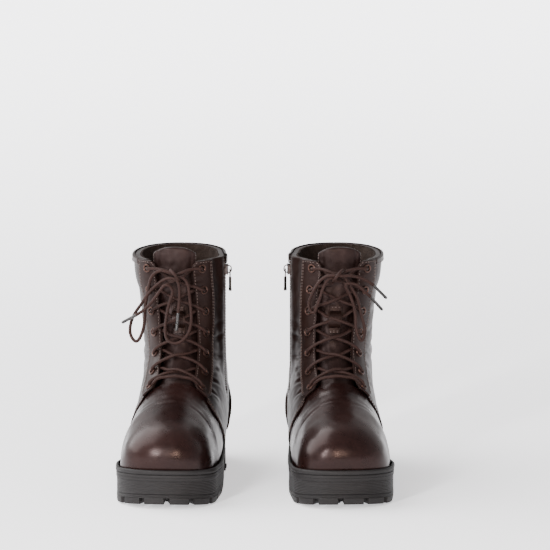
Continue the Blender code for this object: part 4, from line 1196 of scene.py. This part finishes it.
def lining():
    stations = np.concatenate([np.linspace(0.28, 2.0, 50, endpoint=False),
                               np.linspace(2.0, 3.0, 60, endpoint=False),
                               3.0 + graded(36.0, 2.2, start=False) * (TOP - 0.02 - 3.0)])
    grids = []
    for side in (1.0, -1.0):
        first = LINING_FRONT * np.clip((stations - 1.95) / 0.16, 0.0, 1.0)
        last = full(stations, LINING_LIFT)
        q = np.linspace(0.0, 1.0, 52)[None, :]
        m = first[:, None] + q * (last - first)[:, None]
        grids.append((stations[:, None] + 0.0 * q, side * m))

    parts = []
    for grid in grids:
        top, bottom, faces = panel_arrays(*grid, LINING, rounded=(0, 1, 0, 0))
        parts.append((top, bottom, faces))
    top, bottom, faces = weld(parts, 0.05)
    away = bottom - top
    away /= np.linalg.norm(away, axis=1)[:, None]
    bottom = bottom + away * (0.5 * waves(bottom, 5.0, 31)[:, None] + 0.35 * waves(bottom, 2.6, 32)[:, None])
    keep("lining", *close_sheet(top, bottom, faces), "pile", "lining", ("lining",))


def collar():
    """Turned leather edge that closes the top of the shaft between its wall and the lining."""
    station = np.linspace(TOP - 0.1, TOP - 0.02, 6)
    last = full(station)
    across = np.linspace(0.0, 1.0, 90)[None, :]
    m = LINING_FRONT + 1.0 + across * (last[:, None] - LINING_FRONT - 1.0)
    grids = [(station[:, None] + 0.0 * across, side * m) for side in (1.0, -1.0)]
    panel("collar", grids, COLLAR, "facing_leather", "leather_edge", (), rounded=(1, 1, 1, 0))


def tongue():
    station = np.concatenate([np.linspace(2.14, 3.0, 90, endpoint=False),
                              3.0 + graded(46.0, 1.6, (0.0, 0.3, 0.8, 1.6, 2.6), start=False) * 0.92])
    q = graded(52.0, 1.5, (0.0, 0.3, 0.8, 1.6, 2.6)) * 2.0 - 1.0
    half = 27.5 - 4.0 * np.clip(2.4 - station, 0.0, None) / 0.3
    arch = np.clip(1.0 - np.abs(q) ** 2.6, 0.0, 1.0)[None, :]
    top = np.clip((station - 3.0) / 0.92, 0.0, 1.0)[:, None]
    s = station[:, None] - 0.13 * (1.0 - arch) * top ** 2
    m = half[:, None] * q[None, :] * (1.0 - 0.04 * top ** 3)

    def padding(points, station, m):
        ripple = 0.35 * waves(points, 22.0, 41) + 0.2 * waves(points, 9.0, 42)
        channel = -0.9 * np.exp(-((np.abs(m) - 19.0) / 1.3) ** 2)
        crown = 1.5 * np.clip(1.0 - (np.abs(m) / 27.0) ** 4, 0.0, 1.0)
        roll = np.clip((station - 3.55) / 0.2, 0.0, 1.0)
        return crown * (0.5 + 0.5 * roll) + ripple + channel * np.clip((station - 2.5) / 0.2, 0.0, 1.0)

    panel("tongue", [(s, m)], TONGUE, "tongue_leather", "leather", ("tongue",),
          rounded=(0, 1, 1, 1), radius=2.2, relief=padding)
    line = np.linspace(2.5, 3.8, 200)
    for side in (1.0, -1.0):
        stitch(line - 0.02, side * np.full(200, 24.6), TONGUE[0] + 0.55, padding)


def keeper():
    """Leather loop on the tongue, over the lace, stitched down above and below."""
    middle = (EYELET_AT[3] + EYELET_AT[4]) / 2.0
    u = np.linspace(-1.0, 1.0, 60)
    rise = np.clip(1.0 - np.abs(u / 0.62) ** 2.4, 0.0, 1.0) ** 0.6
    lift = TONGUE[0] + 2.6 + rise * 6.5
    v = graded(12.0, 1.5, (0.0, 0.25, 0.6)) * 2.0 - 1.0
    station = middle + 0.095 * 1.3 * u[:, None] + 0.0 * v[None, :]
    m = 6.0 * v[None, :] + 0.0 * station
    points, normals = on_form(station, m)
    top = points + (lift[:, None] + 1.4 - 0.4 * (np.abs(v[None, :]) > 0.97))[..., None] * normals
    bottom = points + lift[:, None, None] * normals
    n, k = station.shape
    quads = grid_quads(n, k)
    sheet = close_sheet(top.reshape(-1, 3), bottom.reshape(-1, 3), [tuple(q) for q in quads.tolist()])
    keep("lace_keeper", *sheet, "facing_leather", "leather", ("lace_keeper",))
    for offset in (-0.115, -0.104, 0.112):
        at = middle + offset
        stitch(np.full(10, at), np.linspace(-5.4, 5.4, 10), TONGUE[0] + 4.0)


def seams():
    """Stitch rows along the quarters' front lower edges and around the zip."""
    for side in (1.0, -1.0):
        for inset in (0.010, 0.024):
            q = np.linspace(0.02, 0.93, 160)
            s = seam_station(q) + inset
            first = rounded_front(s, QUARTER_FRONT)
            m = first + q * (full(s, QUARTER_LIFT) - first)
            stitch(s, side * m, QUARTER[0], relief)
    z = np.linspace(ZIP_BOTTOM - 4.0, TOP_Z - 2.0, 120)
    for offset in (-7.6, 7.6):
        s, m = from_side_all(np.full(120, ZIP_Y + offset), z)
        stitch(s, m, QUARTER[0], relief)
    s, m = from_side_all(np.linspace(ZIP_Y - 7.6, ZIP_Y + 7.6, 12), np.full(12, ZIP_BOTTOM - 8.0))
    stitch(s, m, QUARTER[0], relief)


# -------------------------------------------------------------------------------------------- sole

FINE_POINTS = 640


def full_run_feather(side):
    """The upper's lower edge in plan on one side, from the toe to the heel."""
    toe, _ = on_form(np.zeros(40), side * np.linspace(0.0, full_run(0.0), 40))
    places = [toe]
    for station in np.concatenate([rows(1.0, 2.0, 30)[1:], rows(2.0, 2.5, 60)[1:], rows(2.5, 2.7, 120)[1:]]):
        at, _ = on_form(np.array([station]), np.array([side * full_run(station)]))
        if at[0, 2] > value(FEATHER, at[0, 1]) + 0.5:
            break
        places.append(at)
    return np.vstack(places)[:, :2]


def closed_path(points, count, smoothing):
    loop = np.vstack([points, points[:1]])
    run = np.concatenate([[0.0], np.cumsum(np.linalg.norm(np.diff(loop, axis=0), axis=1))])
    at = np.linspace(0.0, run[-1], count, endpoint=False)
    even = np.column_stack([np.interp(at, run, loop[:, k]) for k in range(2)])
    for _ in range(smoothing):
        even = (np.roll(even, 1, axis=0) + 2.0 * even + np.roll(even, -1, axis=0)) / 4.0
    return even


def grown(outline, distance):
    tangent = np.roll(outline, -1, axis=0) - np.roll(outline, 1, axis=0)
    normal = np.column_stack([tangent[:, 1], -tangent[:, 0]])
    normal /= np.linalg.norm(normal, axis=1)[:, None]
    area = np.sum(outline[:, 0] * np.roll(outline[:, 1], -1) - np.roll(outline[:, 0], -1) * outline[:, 1])
    return outline + np.asarray(distance)[..., None] * normal * (1.0 if area > 0.0 else -1.0)


SMOOTHING = 110
FEATHER_LOOP = np.vstack([full_run_feather(1.0), full_run_feather(-1.0)[:0:-1]])
OUTLINE = grown(closed_path(FEATHER_LOOP, FINE_POINTS, SMOOTHING), RIM_MARGIN - 0.15)


def rim_height(y):
    return cubic(FEATHER, y)[:, 0] + RIM_RISE


def tread_height(y):
    toe = np.clip((-92.0 - y) / 58.0, 0.0, None)
    waist = np.clip((y + 38.0) / 60.0, 0.0, 1.2)
    return TOE_SPRING * toe ** 2 + 13.0 * waist ** 2


def sole_top(y):
    return np.where(y < HEEL_BREAST_Y, np.minimum(tread_height(y) + 10.0, 24.0), 24.0)


# The sole's wall above its ribs, as (depth below the rim's top, inset).
WALL_BANDS = [
    (0.0, 1.5), (0.25, 0.75), (0.8, 0.2), (1.4, 0.0), (3.7, 0.0), (4.05, 0.25), (4.3, 1.35), (4.8, 1.4),
    (5.05, 0.75), (5.4, 0.45), (7.6, 0.5), (7.75, 0.85), (8.0, 0.85), (8.15, 0.55), (10.4, 0.65),
    (10.8, 1.3), (11.2, 1.35),
]


def wall_inset(d):
    """How far the sole's wall lies behind its widest line, at a depth below the rim's top."""
    ribs = 1.15 + 0.42 * (0.5 - 0.5 * np.cos(2.0 * math.pi * (d - 11.2) / 1.55)) ** 0.7
    bands = np.interp(d, *zip(*WALL_BANDS))
    return np.where(d < 11.2, bands, ribs)


def wall_rings(outline, low, high_depths, count):
    """Rings down a wall: at set depths below the rim, then evenly down to a low edge."""
    y = outline[:, 1]
    rim = rim_height(y)
    heights = [rim - d for d in high_depths]
    start = rim - high_depths[-1] if high_depths else None
    for f in np.linspace(0.0, 1.0, count + 1)[1:]:
        heights.append(start + f * (low - start))
    result = []
    for z in heights:
        xy = grown(outline, -wall_inset(rim - z))
        result.append(np.column_stack([xy, z]))
    return result


def loft(levels, caps=(True, True)):
    n = len(levels[0])
    ids = np.arange(n * len(levels)).reshape(len(levels), n)
    after = np.roll(ids, -1, axis=1)
    quads = np.stack([ids[:-1], after[:-1], after[1:], ids[1:]], axis=-1).reshape(-1, 4)
    faces = [tuple(q) for q in quads.tolist()]
    if caps[0]:
        faces.append(tuple(ids[0][::-1].tolist()))
    if caps[1]:
        faces.append(tuple(ids[-1].tolist()))
    return np.vstack(levels), faces


DEPTHS = [0.0, 0.12, 0.25, 0.5, 0.8, 1.1, 1.4, 2.5, 3.7, 3.85, 4.05, 4.15, 4.3, 4.8, 4.92, 5.05, 5.2,
          5.4, 6.5, 7.6, 7.68, 7.75, 8.0, 8.08, 8.15, 9.3, 10.4, 10.6, 10.8, 11.0, 11.2]


def midsole():
    y = OUTLINE[:, 1]
    rim = rim_height(y)
    top = []
    for inset, drop in ((2.9, 4.3), (2.6, 1.0), (2.5, 0.1), (2.3, 0.0), (1.8, 0.0)):
        top.append(np.column_stack([grown(OUTLINE, -inset), rim - drop]))
    walls = wall_rings(OUTLINE, sole_top(y) + 0.3, DEPTHS, 56)
    keep("midsole", *loft(top + walls), "rubber", "rubber", ("midsole",), sharp=50.0)


def stretch_of(outline, keep_y):
    kept = np.array([p for p in outline if keep_y(p[1])])
    gap = np.argmax(np.linalg.norm(kept - np.roll(kept, 1, axis=0), axis=1))
    return np.roll(kept, -gap, axis=0)


NOTCH_PITCH = 26.0
NOTCH_WIDTH = 4.2
LUG_HEIGHT = 6.4
LUG_REACH = 17.0
TREAD_RECESS = 4.2


def notch_mask(outline, offset):
    """1 in the notches between the edge lugs, 0 on the lugs, along the outline."""
    run = np.concatenate([[0.0], np.cumsum(np.linalg.norm(np.diff(outline, axis=0), axis=1))])
    middle = run[np.argmin(outline[:, 1])] if offset == 0.0 else offset
    phase = (run - middle + NOTCH_PITCH / 2.0) % NOTCH_PITCH - NOTCH_PITCH / 2.0
    return np.clip((NOTCH_WIDTH / 2.0 + 0.4 - np.abs(phase)) / 0.8, 0.0, 1.0)


def lugged(outline, top, tread, offset):
    """A tread part: ribbed wall, edge lugs with notches between them, and a recessed middle."""
    rim = rim_height(outline[:, 1])
    levels = [np.column_stack([grown(outline, -(wall_inset(rim - top) + 0.6)), top])]
    shoulder = np.maximum(tread + LUG_HEIGHT, tread)
    for f in np.linspace(0.0, 1.0, 40):
        z = top - 0.15 + f * (shoulder - top + 0.15)
        levels.append(np.column_stack([grown(outline, -wall_inset(rim - z)), z]))
    mask = notch_mask(outline, offset)
    for rise, inset in ((LUG_HEIGHT - 0.25, 0.95), (LUG_HEIGHT - 0.5, 0.95), (3.0, 1.0),
                        (1.0, 1.15), (0.35, 1.4), (0.0, 2.0)):
        z = tread + rise * (1.0 - mask) + mask * np.maximum(rise, TREAD_RECESS)
        levels.append(np.column_stack([grown(outline, -(inset + mask * 4.4)), z]))
    for inset, rise in ((6.4, 0.0), (LUG_REACH - 0.6, 0.0), (LUG_REACH, 0.5),
                        (LUG_REACH + 0.3, TREAD_RECESS)):
        z = tread + np.maximum(rise, mask * TREAD_RECESS)
        levels.append(np.column_stack([grown(outline, -inset), z]))
    return loft(levels)


def inside(outline, x, y):
    """True where a point lies inside a closed outline."""
    x1, y1 = outline[:, 0], outline[:, 1]
    x2, y2 = np.roll(x1, -1), np.roll(y1, -1)
    hit = ((y1 > y) != (y2 > y)) & (x < (x2 - x1) * (y - y1) / (y2 - y1 + 1e-12) + x1)
    return np.count_nonzero(hit) % 2 == 1


def centre_lugs(outline, first, last, tread):
    """Chevron blocks in the recessed middle of a tread part."""
    limit = grown(outline, -(LUG_REACH + 7.0))
    parts = []
    y = first
    row = 0
    while y < last:
        for x in np.arange(-36.0, 40.0, 15.0) + 7.5 * (row % 2):
            if inside(limit, x, y):
                angle = math.radians(28.0 if x < 1.0 else -28.0)
                c, s = math.cos(angle), math.sin(angle)
                turn = np.array([[c, -s, 0.0], [s, c, 0.0], [0.0, 0.0, 1.0]])
                parts.append(box((x, y, tread(np.array([y]))[0] + 2.6), (10.5, 6.5, 5.0), 0.5, turn))
        y += 13.0
        row += 1
    return parts


def outsole():
    outline = stretch_of(OUTLINE, lambda y: y < HEEL_BREAST_Y - 2.0)
    y = outline[:, 1]
    body = lugged(outline, sole_top(y), tread_height(y), 0.0)
    keep("outsole", *join([body] + centre_lugs(outline, -120.0, 26.0, tread_height)),
         "rubber", "rubber", ("outsole",), sharp=50.0)


def heel_block():
    outline = stretch_of(OUTLINE, lambda y: y > HEEL_BREAST_Y)
    flat = np.zeros(len(outline))
    body = lugged(outline, flat + 24.0, flat, 20.0)
    lugs = centre_lugs(outline, 60.0, 108.0, lambda y: np.zeros(len(y)))
    keep("heel_block", *join([body] + lugs), "rubber", "rubber", ("heel_block",), sharp=50.0)


# --------------------------------------------------------------------------------------------- zip

TOOTH_PITCH = 2.1
PULL_TWIST = math.radians(48.0)


def zip_pieces():
    face = ZIP_X
    for name, sign in (("zip_teeth_front", -1.0), ("zip_teeth_rear", 1.0)):
        parts = []
        first = ZIP_BOTTOM + 1.6 + (0.0 if sign < 0 else TOOTH_PITCH / 2.0)
        for z in np.arange(first, ZIP_TOP - 1.6, TOOTH_PITCH):
            parts.append(box((face + 1.2, ZIP_Y + sign * 1.05, z), (1.9, 2.8, 1.15), 0.25))
        length = ZIP_TOP - ZIP_BOTTOM - 2.4
        cord_at = (face + 1.0, ZIP_Y + sign * 2.75, (ZIP_TOP + ZIP_BOTTOM) / 2.0)
        parts.append(box(cord_at, (1.1, 0.9, length), 0.3))
        keep(name, *join(parts), "gunmetal", "zip_metal", (name,))
    z = SLIDER_Z
    parts = [box((face + 4.2, ZIP_Y, z), (1.3, 8.2, 10.8), 0.45)]
    for sign in (-1.0, 1.0):
        parts.append(box((face + 2.4, ZIP_Y + sign * 3.62, z), (4.2, 1.1, 9.6), 0.35))
    arch = [(4.4, 3.9), (6.4, 3.6), (7.7, 2.3), (8.1, 0.2), (7.7, -1.9), (6.4, -3.2), (4.4, -3.5)]
    parts.append(tube(smooth_path([(face + a, ZIP_Y, z + b) for a, b in arch], 24), 0.62, 10))
    keep("zip_slider", *join(parts), "gunmetal", "zip_metal", ("zip_slider",), "slider")
    pull = [box((face + 6.9, ZIP_Y, z), (0.8, 3.7, 0.8), 0.2)]
    for sign in (-1.0, 1.0):
        pull.append(box((face + 6.7, ZIP_Y + sign * 1.5, z - 3.4), (1.1, 0.75, 7.4), 0.25))
    pull.append(box((face + 6.75, ZIP_Y, z - 7.4), (1.15, 3.75, 1.6), 0.3))
    cos, sin = math.cos(PULL_TWIST), math.sin(PULL_TWIST)
    turn = np.array([[cos, -sin, 0.0], [sin, cos, 0.0], [0.0, 0.0, 1.0]])
    pull.append(box((face + 6.8, ZIP_Y, z - 14.6), (1.25, 3.3, 13.6), 0.35, turn))
    pull.append(box((face + 6.8, ZIP_Y, z - 20.6), (1.6, 3.9, 3.6), 0.5, turn))
    keep("zip_pull", *join(pull), "gunmetal", "zip_metal", ("zip_pull",), "pull")
    tab = box((face + 3.2, ZIP_Y, ZIP_TOP + 0.5), (1.2, 12.6, 7.6), 0.5)
    keep("zip_garage", *tab, "facing_leather", "leather", ("zip_garage",))


# -------------------------------------------------------------------------------------------- lace

# The bow, as (x, distance in front of the shaft, z) points from the knot to each free end.
BOWS = {
    "right": (
        [(8.0, 5.5, 212.0), (-2.0, 9.0, 210.5), (-13.0, 10.0, 214.5), (-23.0, 9.0, 210.0),
         (-28.0, 8.0, 196.0), (-31.0, 7.0, 180.0), (-32.0, 6.0, 163.0), (-35.0, 5.0, 149.0),
         (-40.0, 4.0, 142.0), (-45.5, 3.0, 146.0), (-47.0, 2.5, 156.0), (-43.0, 4.0, 168.0),
         (-35.0, 6.0, 180.0), (-27.0, 9.0, 192.0), (-17.0, 12.5, 202.0), (-6.0, 16.0, 208.0),
         (1.0, 16.5, 206.5), (4.0, 16.0, 198.0), (4.0, 14.5, 186.0), (3.0, 13.5, 173.0)],
        [(-9.0, 5.0, 205.0), (-2.0, 12.0, 204.5), (4.5, 14.0, 209.0), (10.5, 14.0, 205.0),
         (13.5, 13.0, 194.0), (15.5, 12.0, 177.0), (15.5, 12.0, 160.0), (10.0, 12.0, 148.0),
         (1.0, 12.0, 143.0), (-7.0, 12.0, 146.0), (-10.0, 12.0, 156.0), (-8.5, 13.0, 171.0),
         (-5.0, 15.0, 186.0), (-3.0, 17.5, 197.0), (-8.0, 20.0, 202.0), (-15.0, 19.0, 196.0),
         (-22.0, 17.0, 186.0), (-31.0, 15.5, 176.0), (-40.0, 14.5, 169.5)],
    ),
    "left": (
        [(8.0, 5.5, 212.0), (-1.0, 9.5, 211.0), (-8.0, 12.0, 207.0), (-13.0, 13.0, 199.0),
         (-20.0, 12.0, 186.0), (-24.0, 11.0, 169.0), (-27.0, 10.5, 154.0), (-24.0, 10.5, 145.0),
         (-19.5, 11.0, 152.0), (-18.0, 12.0, 167.0), (-15.0, 13.5, 183.0), (-10.0, 16.0, 195.0),
         (-8.0, 19.0, 202.5), (-15.0, 19.5, 203.0), (-25.0, 17.5, 196.5), (-33.0, 16.0, 188.5)],
        [(-8.0, 5.0, 205.5), (1.0, 12.0, 205.0), (7.0, 14.0, 208.0), (13.0, 14.0, 202.0),
         (17.0, 13.0, 191.0), (21.0, 12.0, 179.0), (25.0, 11.0, 172.5), (28.5, 10.0, 177.0),
         (26.5, 11.0, 189.0), (20.0, 13.0, 202.0), (10.0, 16.0, 210.5), (-1.0, 18.0, 211.0),
         (-13.0, 17.5, 210.5), (-26.0, 16.0, 206.5), (-36.0, 14.5, 200.0)],
    ),
}
KNOT = [(-5.5, 9.0, 215.0), (-4.0, 15.5, 215.5), (-0.5, 19.5, 213.0),
        (2.5, 19.0, 208.5), (4.0, 14.0, 205.5), (4.5, 9.0, 206.0)]
AGLET_TIPS = {
    "right": ((1.5, 13.0, 155.0), (-55.0, 13.0, 160.5)),
    "left": ((-45.5, 14.0, 174.0), (-50.0, 12.0, 185.0)),
}
BRAID_STEP = 0.55
BRAID_PITCH = 2.6
OVER = 6.1


def criss_cross(side):
    """One end's way from the bottom eyelet up to the top one: out through a hole, over, and under again."""
    points = []
    for k, here in enumerate(EYELET_AT):
        e = side * EYELET_M
        if k:
            points.append((here, side * (GAP_HALF + 1.5), 0.4))
            points.append((here, e - side * 2.8, 0.2))
        points.append((here, e + side * 0.3, 3.3))
        points.append((here, e - side * 1.6, 5.8))
        if k == EYELETS - 1:
            break
        step = EYELET_AT[k + 1] - here
        over = (k + (side > 0.0)) % 2
        points.append((here + 0.16 * step, side * (GAP_HALF + 1.0), OVER))
        points.append((here + 0.32 * step, side * 9.0, 5.6 if over else 4.4))
        points.append((here + 0.5 * step, 0.0, 4.9 if over else 0.9))
        points.append((here + 0.68 * step, -side * 9.0, 1.8 if over else -0.4))
        side = -side
    return points, side


def places_to_points(places):
    station, m, lift = np.array(places, float).T
    return lifted_all(station, m, lift)


def in_front(points):
    x, distance, z = np.array(points, float).T
    ridge = np.interp(z, RIDGE_LINE[150:, 1], RIDGE_LINE[150:, 0])
    return np.column_stack([x, ridge + 0.0035 * x * x - distance, z])


def path_of(points, step=BRAID_STEP):
    chord = np.linalg.norm(np.diff(points, axis=0), axis=1).sum()
    rough = smooth_path(points, int(chord / step))
    length = np.linalg.norm(np.diff(rough, axis=0), axis=1).sum()
    return smooth_path(points, int(length / step)), length


def braid(index, angle):
    along = index[:, None] * BRAID_STEP * 2.0 * math.pi / (4.0 * BRAID_PITCH) * 4.0
    wide = np.maximum(np.cos(4.0 * angle[None, :] + along), np.cos(4.0 * angle[None, :] - along))
    return 0.95 + 0.085 * wide


def to_world(side, points):
    matrix = np.array(stance_matrix(side))
    return points @ matrix[:3, :3].T * MM + matrix[:3, 3]


def cord_piece(side, name, points):
    """A braided cord on one boot; returns the object, its length in metres and its path."""
    path, length = path_of(points)
    mesh, faces = tube(path, LACE_DIAMETER / 2.0, 16, braid)
    matrix = np.array(stance_matrix(side))
    world = mesh @ matrix[:3, :3].T + matrix[:3, 3] / MM
    obj = mesh_object(side + "_" + name, world, faces, "lace_cord", 60.0)
    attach(obj, "boots")
    return obj, length * MM, to_world(side, path)


def aglet_piece(side, name, end, tip):
    way = tip - end
    length = np.linalg.norm(way)
    way = way / length
    profile = [(1.15, -0.4), (1.62, 0.2), (1.66, 1.2), (1.5, 1.6), (1.5, length - 3.4),
               (1.58, length - 2.2), (1.35, length - 0.8), (0.8, length - 0.15)]
    angle = 2.0 * math.pi * np.arange(16) / 16
    first = np.cross(way, [0.0, 1.0, 0.3])
    first /= np.linalg.norm(first)
    second = np.cross(way, first)
    spoke = np.cos(angle)[:, None] * first + np.sin(angle)[:, None] * second
    levels = [end + r * spoke + h * way for r, h in profile]
    points, faces = loft(levels)
    matrix = np.array(stance_matrix(side))
    points = points @ matrix[:3, :3].T + matrix[:3, 3] / MM
    obj = mesh_object(side + "_" + name, points, faces, "dark_plastic", 40.0)
    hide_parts(side + "_" + name)
    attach(obj, "boots")
    return obj


def laces(side):
    first, end_a = criss_cross(1.0)
    second, end_b = criss_cross(-1.0)
    below = EYELET_AT[0]
    bar = [(below - 0.012, m, 6.3) for m in (GAP_HALF, 8.0, 0.0, -8.0, -GAP_HALF)]
    laced = places_to_points(first[::-1] + bar + second)
    into = {}
    for sign in (end_a, end_b):
        into[sign] = lifted_all(EYELET_AT[-1:] + 0.012, np.array([sign * (GAP_HALF + 2.0)]), OVER + 0.3)
    knot_in = {s: in_front([(s * 9.0, 10.0, 214.0), (s * 2.0, 11.5 + s, 211.5)]) for s in (1.0, -1.0)}
    whole = np.vstack([knot_in[end_a][::-1], into[end_a], laced, into[end_b], knot_in[end_b]])
    lower, length, _ = cord_piece(side, "lace", whole)
    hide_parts(side + "_lace")
    total = length
    tips = AGLET_TIPS[side]
    names = ("aglet_inner", "aglet_outer")
    for bow, tip, aglet in zip(BOWS[side], tips, names):
        points = in_front(bow)
        tip = in_front([tip])[0]
        aglet_obj = aglet_piece(side, aglet, points[-1], tip)
        obj, length, path = cord_piece(side, "bow_" + aglet.split("_")[1], points)
        total += length
    cord_piece(side, "knot", in_front(KNOT))
    return total


# ------------------------------------------------------------------------------------------- stage

# Area lights, as (name, power, place, size, colour), all aimed at the middle of the pair.
LIGHT_AIM = Vector((0.0, 0.0, 0.12))
LIGHTS = [
    ("key", 46.0, (-0.86, -1.74, 0.84), (0.11, 0.8), (1.0, 1.0, 1.0)),
    ("upper", 230.0, (-2.0, 0.6, 2.1), (3.4, 3.4), (1.0, 1.0, 1.0)),
    ("warm", 15.0, (0.08, -1.95, 0.78), (0.1, 0.5), (1.0, 0.80, 0.64)),
]
FLOOR_REACH = 40.0

# The studio is brightest level with the boots and dims towards the side they face.
WORLD_BASE = 0.42
WORLD_SIDES = 1.0
WORLD_AHEAD = -0.8


def light(name, energy, location, size, colour):
    data = bpy.data.lights.new(name, "AREA")
    data.energy = energy
    data.color = colour
    data.shape = "RECTANGLE"
    data.size, data.size_y = size
    obj = bpy.data.objects.new(name, data)
    bpy.context.scene.collection.objects.link(obj)
    obj.location = location
    obj.rotation_euler = (LIGHT_AIM - Vector(location)).to_track_quat("-Z", "Y").to_euler()


def stage():
    mesh = bpy.data.meshes.new("floor")
    corners = [(x * FLOOR_REACH, y * FLOOR_REACH, 0.0) for x, y in ((-1, -1), (1, -1), (1, 1), (-1, 1))]
    mesh.from_pydata(corners, [], [(0, 1, 2, 3)])
    mesh.materials.append(MATERIALS["floor"])
    floor = bpy.data.objects.new("floor", mesh)
    bpy.context.scene.collection.objects.link(floor)
    for row in LIGHTS:
        light(*row)
    world = bpy.data.worlds.new("studio")
    world.use_nodes = True
    tree = world.node_tree
    direction = tree.nodes.new("ShaderNodeTexCoord").outputs["Generated"]
    split = tree.nodes.new("ShaderNodeSeparateXYZ")
    tree.links.new(direction, split.inputs[0])

    def combine(operation, first, second, third=None):
        node = tree.nodes.new("ShaderNodeMath")
        node.operation = operation
        for socket, item in zip(node.inputs, (first, second, third)):
            if isinstance(item, float):
                socket.default_value = item
            elif item is not None:
                tree.links.new(item, socket)
        return node.outputs[0]

    level = combine("SUBTRACT", 1.0, combine("ABSOLUTE", split.outputs["Z"], None))
    ahead = combine("MAXIMUM", combine("MULTIPLY", split.outputs["Y"], -1.0), 0.0)
    sides = combine("MULTIPLY", level, combine("MULTIPLY_ADD", ahead, WORLD_AHEAD, 1.0))
    strength = combine("MULTIPLY_ADD", sides, WORLD_SIDES, WORLD_BASE)
    tree.links.new(strength, tree.nodes["Background"].inputs["Strength"])
    tree.nodes["Background"].inputs["Color"].default_value = (1.0, 1.0, 1.0, 1.0)
    bpy.context.scene.world = world


# ------------------------------------------------------------------------------------------ making

# CAD nodes that stay as they are, with their materials.
CARRIED = {"shank": "spring_steel", "insole_board": "fibre_board", "footbed": "pile",
           "heel_counter": "fibre_board", "insulation": "wadding", "toe_puff": "fibre_board",
           "zip_tape": "zip_weave"}


def main():
    for side in SIDES:
        print(side, "lace", round(laces(side), 3))
    midsole()
    outsole()
    heel_block()
    vamp()
    lateral_quarter()
    medial_quarter()
    facing(1.0, "facing_medial")
    facing(-1.0, "facing_lateral")
    eyelets()
    counter_cover()
    back_strip()
    binding()
    lining()
    collar()
    tongue()
    keeper()
    zip_pieces()
    seams()
    keep("stitching", *join(STITCHES), "thread", "leather", ())
    for side in SIDES:
        for shape in SHAPES:
            obj = place(side, shape)
        for node, material in CARRIED.items():
            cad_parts[side + "_" + node].data.materials.clear()
            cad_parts[side + "_" + node].data.materials.append(MATERIALS[material])
    stage()


main()
